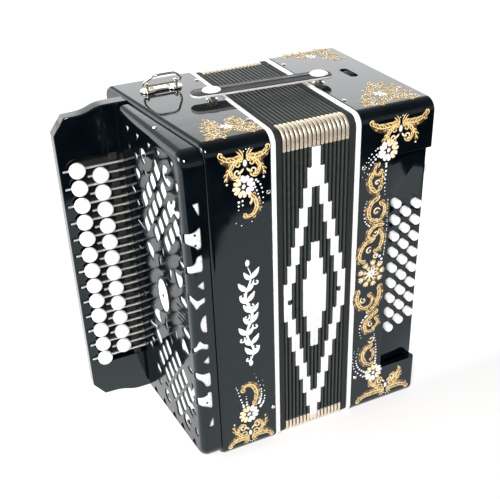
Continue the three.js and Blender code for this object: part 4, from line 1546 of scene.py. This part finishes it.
        quarter_turn = math.pi / 2
        for side, reach in ((-1, left), (1, right)):
            turn = side * up
            wing = ((1.5, -0.5), (reach * 0.35, -2.4), (reach * 0.68, -2.2), (reach, 2.4))
            self.feather([at(side * u, v) for u, v in wing], 2.8, 8.2, turn, 0.4)
            for u, v, lean, length in ((1.5, 0, 0.15, 8.5), (3.2, -0.4, 0.3, 8.0)):
                angle = quarter_turn * up - turn * lean
                self.leaf(at(side * u, v), angle, length, 1.8, -turn * 0.7, GOLD, 0.1)
            arm = ((1.5, -1.5), (arch * 0.6, -3.2), (arch * 0.96, -8), (arch, -14), (arch * 0.8, -19))
            self.feather([at(side * u, v) for u, v in arm], 2.6, 6.0, -turn, 0.45)
            sprig = ((0.95, -9), (1.18, -14), (1.22, -20))
            self.feather([at(side * arch * u, v) for u, v in sprig], 1.8, 4.2, turn, end_curl=False)
            self.spot(at(side * arch * 1.22, -22.5), 1.1, 0.4, CREAM, 0.9)
            self.curl(at(side * arch * 0.42, -6.5), 3.8, 90 * up + 60 * side, -310 * turn, 1.9, GOLD, 0.2)
            self.curl(at(side * arch * 0.5, -14.0), 3.6, -90 * up, 300 * turn, 1.9, CREAM, 0.1)
            for u, v, lean, length, width, bend, kind in (
                (1.5, -11, 0.6, 6.5, 2.6, 0.5, CREAM), (4.5, -15.5, 0.3, 5.5, 2.2, 0.6, GOLD),
            ):
                angle = turn * lean - quarter_turn * up
                self.leaf(at(side * u, v), angle, length, width, turn * bend, kind, 0.1)
        self.spot(at(0, -6.4), 3.0, 0.12, SHADE, 0.0, 1.5, quarter_turn)
        self.spot(at(0, -6.2), 1.9, 0.6, WHITE, 1.0, 1.75, quarter_turn)
        for u, v in ((-0.9, 4.5), (1.4, 6.0)):
            self.spot(at(u, v), 0.6, 0.4, WHITE, 1.0)

    def rosette(self, centre, radius):
        """The large middle flower: two rings of scalloped petals round a white cluster."""
        self.spot(centre, radius * 0.86, 0.1, SHADE)
        for ring, count, size, kind in ((0.76, 9, 0.25, CREAM), (0.5, 8, 0.18, GOLD)):
            for a in (turn + ring for turn in around(count)):
                at = polar(*centre, radius * ring, a)
                self.spot(at, radius * size * 0.8, 0.4, kind, 0.35, 1.1, a)
                for turn in (-0.9, -0.3, 0.3, 0.9):
                    base, length = polar(*at, -2.0, a), radius * size * 1.5
                    tint = 0.35 - 0.3 * abs(turn)
                    self.leaf(base, a + turn, length, 1.6, -turn * 0.8, kind, tint, 0.62)
        for k, a in enumerate(around(9)):
            kind = WHITE if k % 3 else CREAM
            self.leaf(polar(*centre, 0.8, a), a, radius * 0.42, 2.2, 0.5, kind, 0.2, 0.95)
        for a in around(6):
            self.spot(polar(*centre, 2.6, a + 0.4), 0.9, 1.1, WHITE, 1.0)
        self.spot(centre, 1.2, 1.2, SHADE, 0.4)

    def spray(self, outline):
        """Scrolls with a few leaves, spread over an outline in a sunflower pattern."""
        count, size = 90, 6.0
        middle = [sum(values) / len(outline) for values in zip(*outline)]
        reach = max(math.dist(middle, corner) for corner in outline)
        for k in range(count):
            a = k * GOLDEN_ANGLE
            at = polar(*middle, reach * math.sqrt((k + 0.5) / count), a)
            if not inside(outline, *at):
                continue
            turn = 1 if k % 2 else -1
            kind = GOLD if k % 3 else CREAM
            self.curl(at, size * 0.6, math.degrees(a) * 1.7, 320 * turn, size * 0.2, kind, 0.1)
            for lean in (0.4, 1.1):
                base = polar(*at, size * 0.5, a)
                self.leaf(base, a + turn * lean, size * 0.8, size * 0.2, turn * 1.2, GOLD, 0.05)
        for a in around(6):
            self.leaf(polar(*middle, 1.6, a), a, size * 0.75, size * 0.42, 0.2, WHITE, 0.2, 0.7)


def inside(outline, u, v):
    crossings = 0
    for (u0, v0), (u1, v1) in zip(outline, outline[1:] + outline[:1]):
        if (v0 > v) != (v1 > v) and u < u0 + (v - v0) * (u1 - u0) / (v1 - v0):
            crossings += 1
    return crossings % 2 == 1


def treble_front_ornament():
    brush = Brush(on_front)
    brush.crest((-43.8, 324.8), 1, 23.0, 22.5, 14.0)
    brush.flower((-45.7, 297.3), 10.4, (WHITE, WHITE, CREAM, CREAM, CREAM, WHITE), 0.35)
    brush.feather([(-39.5, 290), (-34.5, 284), (-33.0, 276), (-37, 269), (-44, 267)], 2.8, 6.4, -1, 0.45)
    brush.feather([(-41, 289), (-38, 284), (-40, 279)], 1.8, 3.0, -1, 0.0, False, CREAM)
    for row in (
        ([(-36, 297), (-33.5, 291), (-31.5, 284), (-31, 278)], 7, 1.15, 0.5),
        ([(-34, 301), (-30, 296), (-28, 288), (-28, 278), (-30.5, 271)], 9, 1.15, 0.4),
        ([(-50.7, 283.5), (-51.2, 276)], 3, 1.25, 0.7),
        ([(-47.2, 284), (-47.2, 280)], 2, 1.0, 0.9),
        ([(-54, 264), (-49, 260.5), (-39, 262.5)], 3, 0.55, 0.55),
    ):
        brush.dots(*row)
    brush.crest((-48.5, 16.0), -1, 23.5, 24.5, 14.0)
    brush.flower((-49.3, 46.8), 10.6, (WHITE, WHITE, CREAM, CREAM, CREAM, WHITE), -0.2)
    tail = [(-44, 56), (-40.5, 63), (-39.5, 72), (-43, 81), (-50, 84.5), (-56, 81)]
    brush.feather(tail, 3.0, 6.8, 1, 0.45)
    for row in (
        ([(-54.5, 58), (-57, 67), (-60, 79), (-62, 85)], 9, 1.3, 0.4),
        ([(-51, 59.5), (-51.5, 70)], 4, 1.3, 0.5),
        ([(-38.0, 57), (-35.5, 64), (-35.5, 76), (-42, 95)], 12, 1.5, 0.35),
        ([(-36.5, 52), (-33.0, 57), (-31.5, 66), (-33.5, 84)], 9, 1.5, 0.35),
    ):
        brush.dots(*row)
    brush.piece("treble_front_ornament", "treble")


def treble_vine():
    """A plain white vine where such an instrument often has writing: stem, paired leaves and curls."""
    brush = Brush(on_front)
    stem = [(-45 + 3.0 * math.sin(math.tau * 2.5 * k / 60), 113 + 104 * k / 60) for k in range(61)]
    brush.stroke(stem, taper(3.0, 0.5, 0.3, 0.5), 0.5, WHITE, 0.4)
    for k in range(8):
        u, v = stem[4 + k * 7]
        side = 1 if k % 2 else -1
        brush.leaf((u, v), math.pi / 2 - side, 13.0, 5.6, side * 0.6, WHITE, 0.4, 0.5)
        brush.leaf((u, v - 1), math.pi / 2 + side, 11.5, 4.8, -side * 0.7, WHITE, 0.4, 0.5)
        brush.curl((u + side * 5.4, v - 5.2), 3.6, 90 + side * 40, side * 290, 1.9, WHITE, 0.4)
    for at in ((stem[-1][0], 221.5), (stem[0][0], 109.5)):
        brush.spot(at, 2.2, 0.5, WHITE, 1.0, 1.6, math.pi / 2)
    brush.piece("treble_front_vine", "treble")


def bass_front_ornament():
    brush = Brush(on_front)
    brush.crest((110.3, 325.0), 1, 31.5, 28.5, 14.0)
    brush.flower((98.6, 300.3), 10.6, (CREAM, CREAM, WHITE, WHITE, WHITE, CREAM), 0.35)
    for points, width, length, side in (
        ([(90, 290), (84.5, 285), (84.5, 280), (89, 277)], 2, 5.5, 1),
        ([(83, 281), (79.5, 275), (80.5, 267), (86, 260.5), (92, 262)], 2.7, 6.8, 1),
        ([(91, 283), (93.5, 276), (92, 268)], 1.8, 4.2, 1),
        ([(92, 256), (84, 252), (79.5, 244), (80.5, 235), (87, 229)], 2.7, 7.0, 1),
        ([(92, 250), (98, 245), (98.5, 237), (93, 229)], 2.4, 6.0, -1),
        ([(98.5, 225), (90, 226), (82.5, 221), (81, 214), (86, 210)], 2.4, 6.2, 1),
        ([(93, 221), (98, 213), (97, 203), (92, 196)], 2.6, 6.2, -1),
        ([(88, 211), (79, 209), (73, 202), (71.5, 193), (75, 187)], 2.6, 6.2, 1),
        ([(73, 157), (70.3, 147), (73.5, 137), (81, 131)], 2.7, 6.8, 1),
        ([(97, 157), (98.5, 146), (95.5, 135), (87, 126)], 2.7, 7.0, -1),
        ([(84, 149), (90, 143), (88, 134)], 2, 4.7, -1),
        ([(97, 127), (89, 122), (81.5, 114), (82.5, 104), (91, 101)], 2.7, 7.0, 1),
        ([(94, 119), (98, 112), (94, 105)], 2, 4.7, -1),
        ([(93, 85), (85, 82), (80, 74), (83, 63), (91, 57)], 2.9, 7.8, 1),
        ([(91, 79), (95, 73), (93, 65)], 1.9, 4.4, -1),
    ):
        brush.feather(points, width, length, side, 0.6)
    for centre, radius, start in (
        ((89, 240), 3.6, 20), ((89.5, 217), 3.0, 200), ((83, 199), 3.4, 60), ((79, 143), 3.4, 120),
        ((91, 91.5), 3.8, 200), ((89, 111), 3.2, 80), ((88, 270), 2.6, 0), ((91, 191), 2.8, 90),
    ):
        brush.spot(centre, radius * 1.1, 0.08, SHADE)
        brush.curl(centre, radius * 1.15, start, 300, 2.1, CREAM)
    brush.rosette((86.5, 172.5), 15.5)
    brush.flower((95.5, 46.0), 10.6, (WHITE, CREAM, CREAM, WHITE, WHITE, CREAM), 0.4)
    brush.crest((112.0, 17.0), -1, 35.0, 28.0, 14.5)
    brush.feather([(115, 25), (121, 28), (127, 34), (129, 43)], 2.8, 6.0, 1, 0.5, False)
    brush.feather([(104, 25), (97, 27), (92, 31), (90, 36)], 2.4, 5.0, -1, 0.5)
    for row in (
        ([(90.5, 298), (84, 293), (79, 287), (76, 276)], 8, 1.4, 0.4),
        ([(92, 301), (84, 297), (77, 291), (72, 279)], 9, 1.1, 0.35),
        ([(87, 304), (79, 298), (74, 290)], 6, 0.9, 0.4),
        ([(97, 287), (97, 277), (96.5, 266), (97.5, 256)], 9, 1.3, 0.5),
        ([(101, 250), (101.5, 228), (101, 206), (99.5, 190)], 22, 0.5, 0.6),
        ([(78, 253), (75.5, 244), (77, 232), (82, 226)], 10, 0.6, 0.9),
        ([(84, 122.5), (78.5, 117), (76, 107), (78, 97)], 9, 1.3, 0.5),
        ([(94, 97), (96.5, 84), (97.5, 70), (97, 58)], 12, 0.5, 1.3),
        ([(76, 84), (73.5, 70), (77, 58), (86, 49)], 12, 0.35, 1.4),
        ([(71, 82), (69.5, 70), (73, 56), (83, 45)], 11, 0.3, 1.2),
        ([(92, 192), (97, 188), (98, 182)], 4, 1.6, 1.3),
    ):
        brush.dots(*row)
    brush.piece("bass_front_ornament", "bass")


def top_ornaments():
    bass = Brush(on_top)
    bass.spray([
        (137, -84), (137, -52), (126, -36), (116, -32), (104, -44), (92, -60), (82, -80), (86, -86),
        (110, -82),
    ])
    bass.spray([
        (136, 88), (84, 89), (80, 84), (96, 76), (104, 66), (112, 74), (120, 62), (124, 46), (134, 44),
    ])
    bass.piece("bass_top_ornament", "bass")
    treble = Brush(on_top)
    treble.spray([
        (-68, -84), (-66, -66), (-60, -44), (-54, -40), (-50, -56), (-44, -60), (-38, -46),
        (-30, -50), (-24, -70), (-22, -82), (-30, -84), (-46, -76), (-62, -86),
    ])
    treble.piece("treble_top_ornament", "treble")


# ---- the object ----------------------------------------------------------------------------
make_treble_casing()
board_piece()
make_lever_comb()
for row in (OUTER_ROW, INNER_ROW):
    for index, z in enumerate(key_heights(row)):
        make_key(row, index, z)
make_grille_cover()
make_grille_backing()
make_medallion()
make_bellows_frames()
make_bellows()
make_bass_casing()
make_partition()
make_bass_end()
make_bass_plate()
make_bass_rows()
make_air_button()
make_adjuster()
make_hand_strap()
make_bellows_strap()
make_bracket()
make_bail()
make_pins()
treble_front_ornament()
treble_vine()
bass_front_ornament()
top_ornaments()

for node, finish in (
    ("lever_axle", STEEL), ("treble_reed_block_outer", SPRUCE),
    ("treble_reed_block_inner", SPRUCE), ("bass_reed_block", SPRUCE),
):
    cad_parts[node].data.materials.clear()
    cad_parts[node].data.materials.append(finish)


# ---- stage, light and camera ---------------------------------------------------------------


def sheet(name, corners, height, finish):
    """A flat piece of the stage."""
    mesh = bpy.data.meshes.new(name)
    mesh.from_pydata([(x, y, height) for x, y in corners], [], [tuple(range(len(corners)))])
    obj = add_object(name, mesh)
    mesh.materials.append(finish.material)
    return obj


def make_floor():
    """A pale paper floor that glows a little more behind the object."""
    paper = Finish("paper_floor", (0.3, 0.3, 0.3), 0.95)
    paper.set(Specular_IOR_Level=0.1, Emission_Color=(1.0, 0.99, 0.985, 1))
    paper.color(paper.noise(3, 2.0), (0.3, (0.29, 0.29, 0.292)), (0.7, (0.31, 0.308, 0.306)))
    split = paper.node("ShaderNodeSeparateXYZ")
    paper.link(paper.place, split.inputs["Vector"])
    glow = paper.node("ShaderNodeMapRange")
    set_inputs(glow, From_Min=-0.1, From_Max=0.02, To_Min=0.66, To_Max=1.05)
    paper.link(split.outputs["Y"], glow.inputs["Value"])
    paper.link(glow.outputs["Result"], paper.shader.inputs["Emission Strength"])
    sheet("floor", [(-3.0, -3.4), (3.0, -3.4), (3.0, 3.4), (-3.0, 3.4)], 0.0, paper)


def make_flag():
    """A black card in front of the object that only the lacquer mirrors, as a dark studio would be."""
    near = [
        (-2.2, -0.2), (-0.4, -0.4), (-0.078, -0.455), (0.07, -0.472), (0.105, -0.53), (0.15, -0.57),
        (0.2, -0.586), (0.414, -0.631), (0.487, -0.6), (0.502, -0.55), (0.54, -0.3), (1.0, -0.1), (2.6, 0.0),
    ]
    black = Finish("black_card", (0.004, 0.006, 0.008), 0.9)
    black.color(black.noise(8), (0.3, (0.003, 0.005, 0.007)), (0.7, (0.005, 0.007, 0.009)))
    black.set(Specular_IOR_Level=0.0)
    flag = sheet("black_flag", [(-2.2, -3.3), (2.6, -3.3), *reversed(near)], 0.001, black)
    flag.visible_camera = False
    flag.visible_diffuse = False
    flag.visible_shadow = False
    flag.visible_transmission = False


def add_light(name, location, target, size, energy):
    light = bpy.data.lights.new(name, "AREA")
    light.energy = energy
    light.size = size
    lamp = add_object(name, light)
    lamp.location = location
    lamp.rotation_mode = "QUATERNION"
    lamp.rotation_quaternion = (Vector(target) - Vector(location)).to_track_quat("-Z", "Y")


def make_world():
    """A studio: a bright wall low behind the object, a dim ceiling, and a dimmer room behind the camera."""
    world = bpy.data.worlds.new("studio")
    world.use_nodes = True
    tree = world.node_tree
    background = tree.nodes["Background"]
    place = tree.nodes.new("ShaderNodeTexCoord")
    split = tree.nodes.new("ShaderNodeSeparateXYZ")
    tree.links.new(place.outputs["Generated"], split.inputs["Vector"])

    def ramp(axis, stops):
        span = set_inputs(tree.nodes.new("ShaderNodeMapRange"), From_Min=-1.0)
        tree.links.new(split.outputs[axis], span.inputs["Value"])
        made = tree.nodes.new("ShaderNodeValToRGB")
        fill_ramp(made, [((at + 1) / 2, (level, level, level)) for at, level in stops])
        tree.links.new(span.outputs["Result"], made.inputs["Fac"])
        return made.outputs["Color"]

    height = ramp("Z", (
        (-0.2, 0.3), (0.0, 0.95), (0.35, 0.95), (0.4, 0.55), (0.46, 0.28), (0.7, 0.16), (1.0, 0.16),
    ))
    depth = ramp("Y", ((-0.4, 0.2), (0.1, 0.4), (0.55, 1.0), (1.0, 1.0)))
    mix = tree.nodes.new("ShaderNodeVectorMath")
    mix.operation = "MULTIPLY"
    tree.links.new(height, mix.inputs[0])
    tree.links.new(depth, mix.inputs[1])
    tree.links.new(mix.outputs["Vector"], background.inputs["Color"])
    set_inputs(background, Strength=2.6)
    bpy.context.scene.world = world


def make_camera():
    data = bpy.data.cameras.new("camera")
    data.lens = 58.64
    data.sensor_width = 36
    data.clip_start = 0.05
    camera = add_object("camera", data)
    camera.location = (-0.29417, -0.66454, 0.59847)
    camera.rotation_euler = [math.radians(a) for a in (59.625, 1.771, -25.011)]
    bpy.context.scene.camera = camera


make_floor()
make_flag()
make_world()
make_camera()
add_light("key_panel", (-0.9, -1.3, 1.5), (0.0, 0.0, 0.2), 0.35, 46)
add_light("side_panel", (-1.6, 0.1, 0.9), (-0.1, 0.0, 0.2), 0.5, 14)
bpy.context.scene.view_settings.view_transform = "Standard"
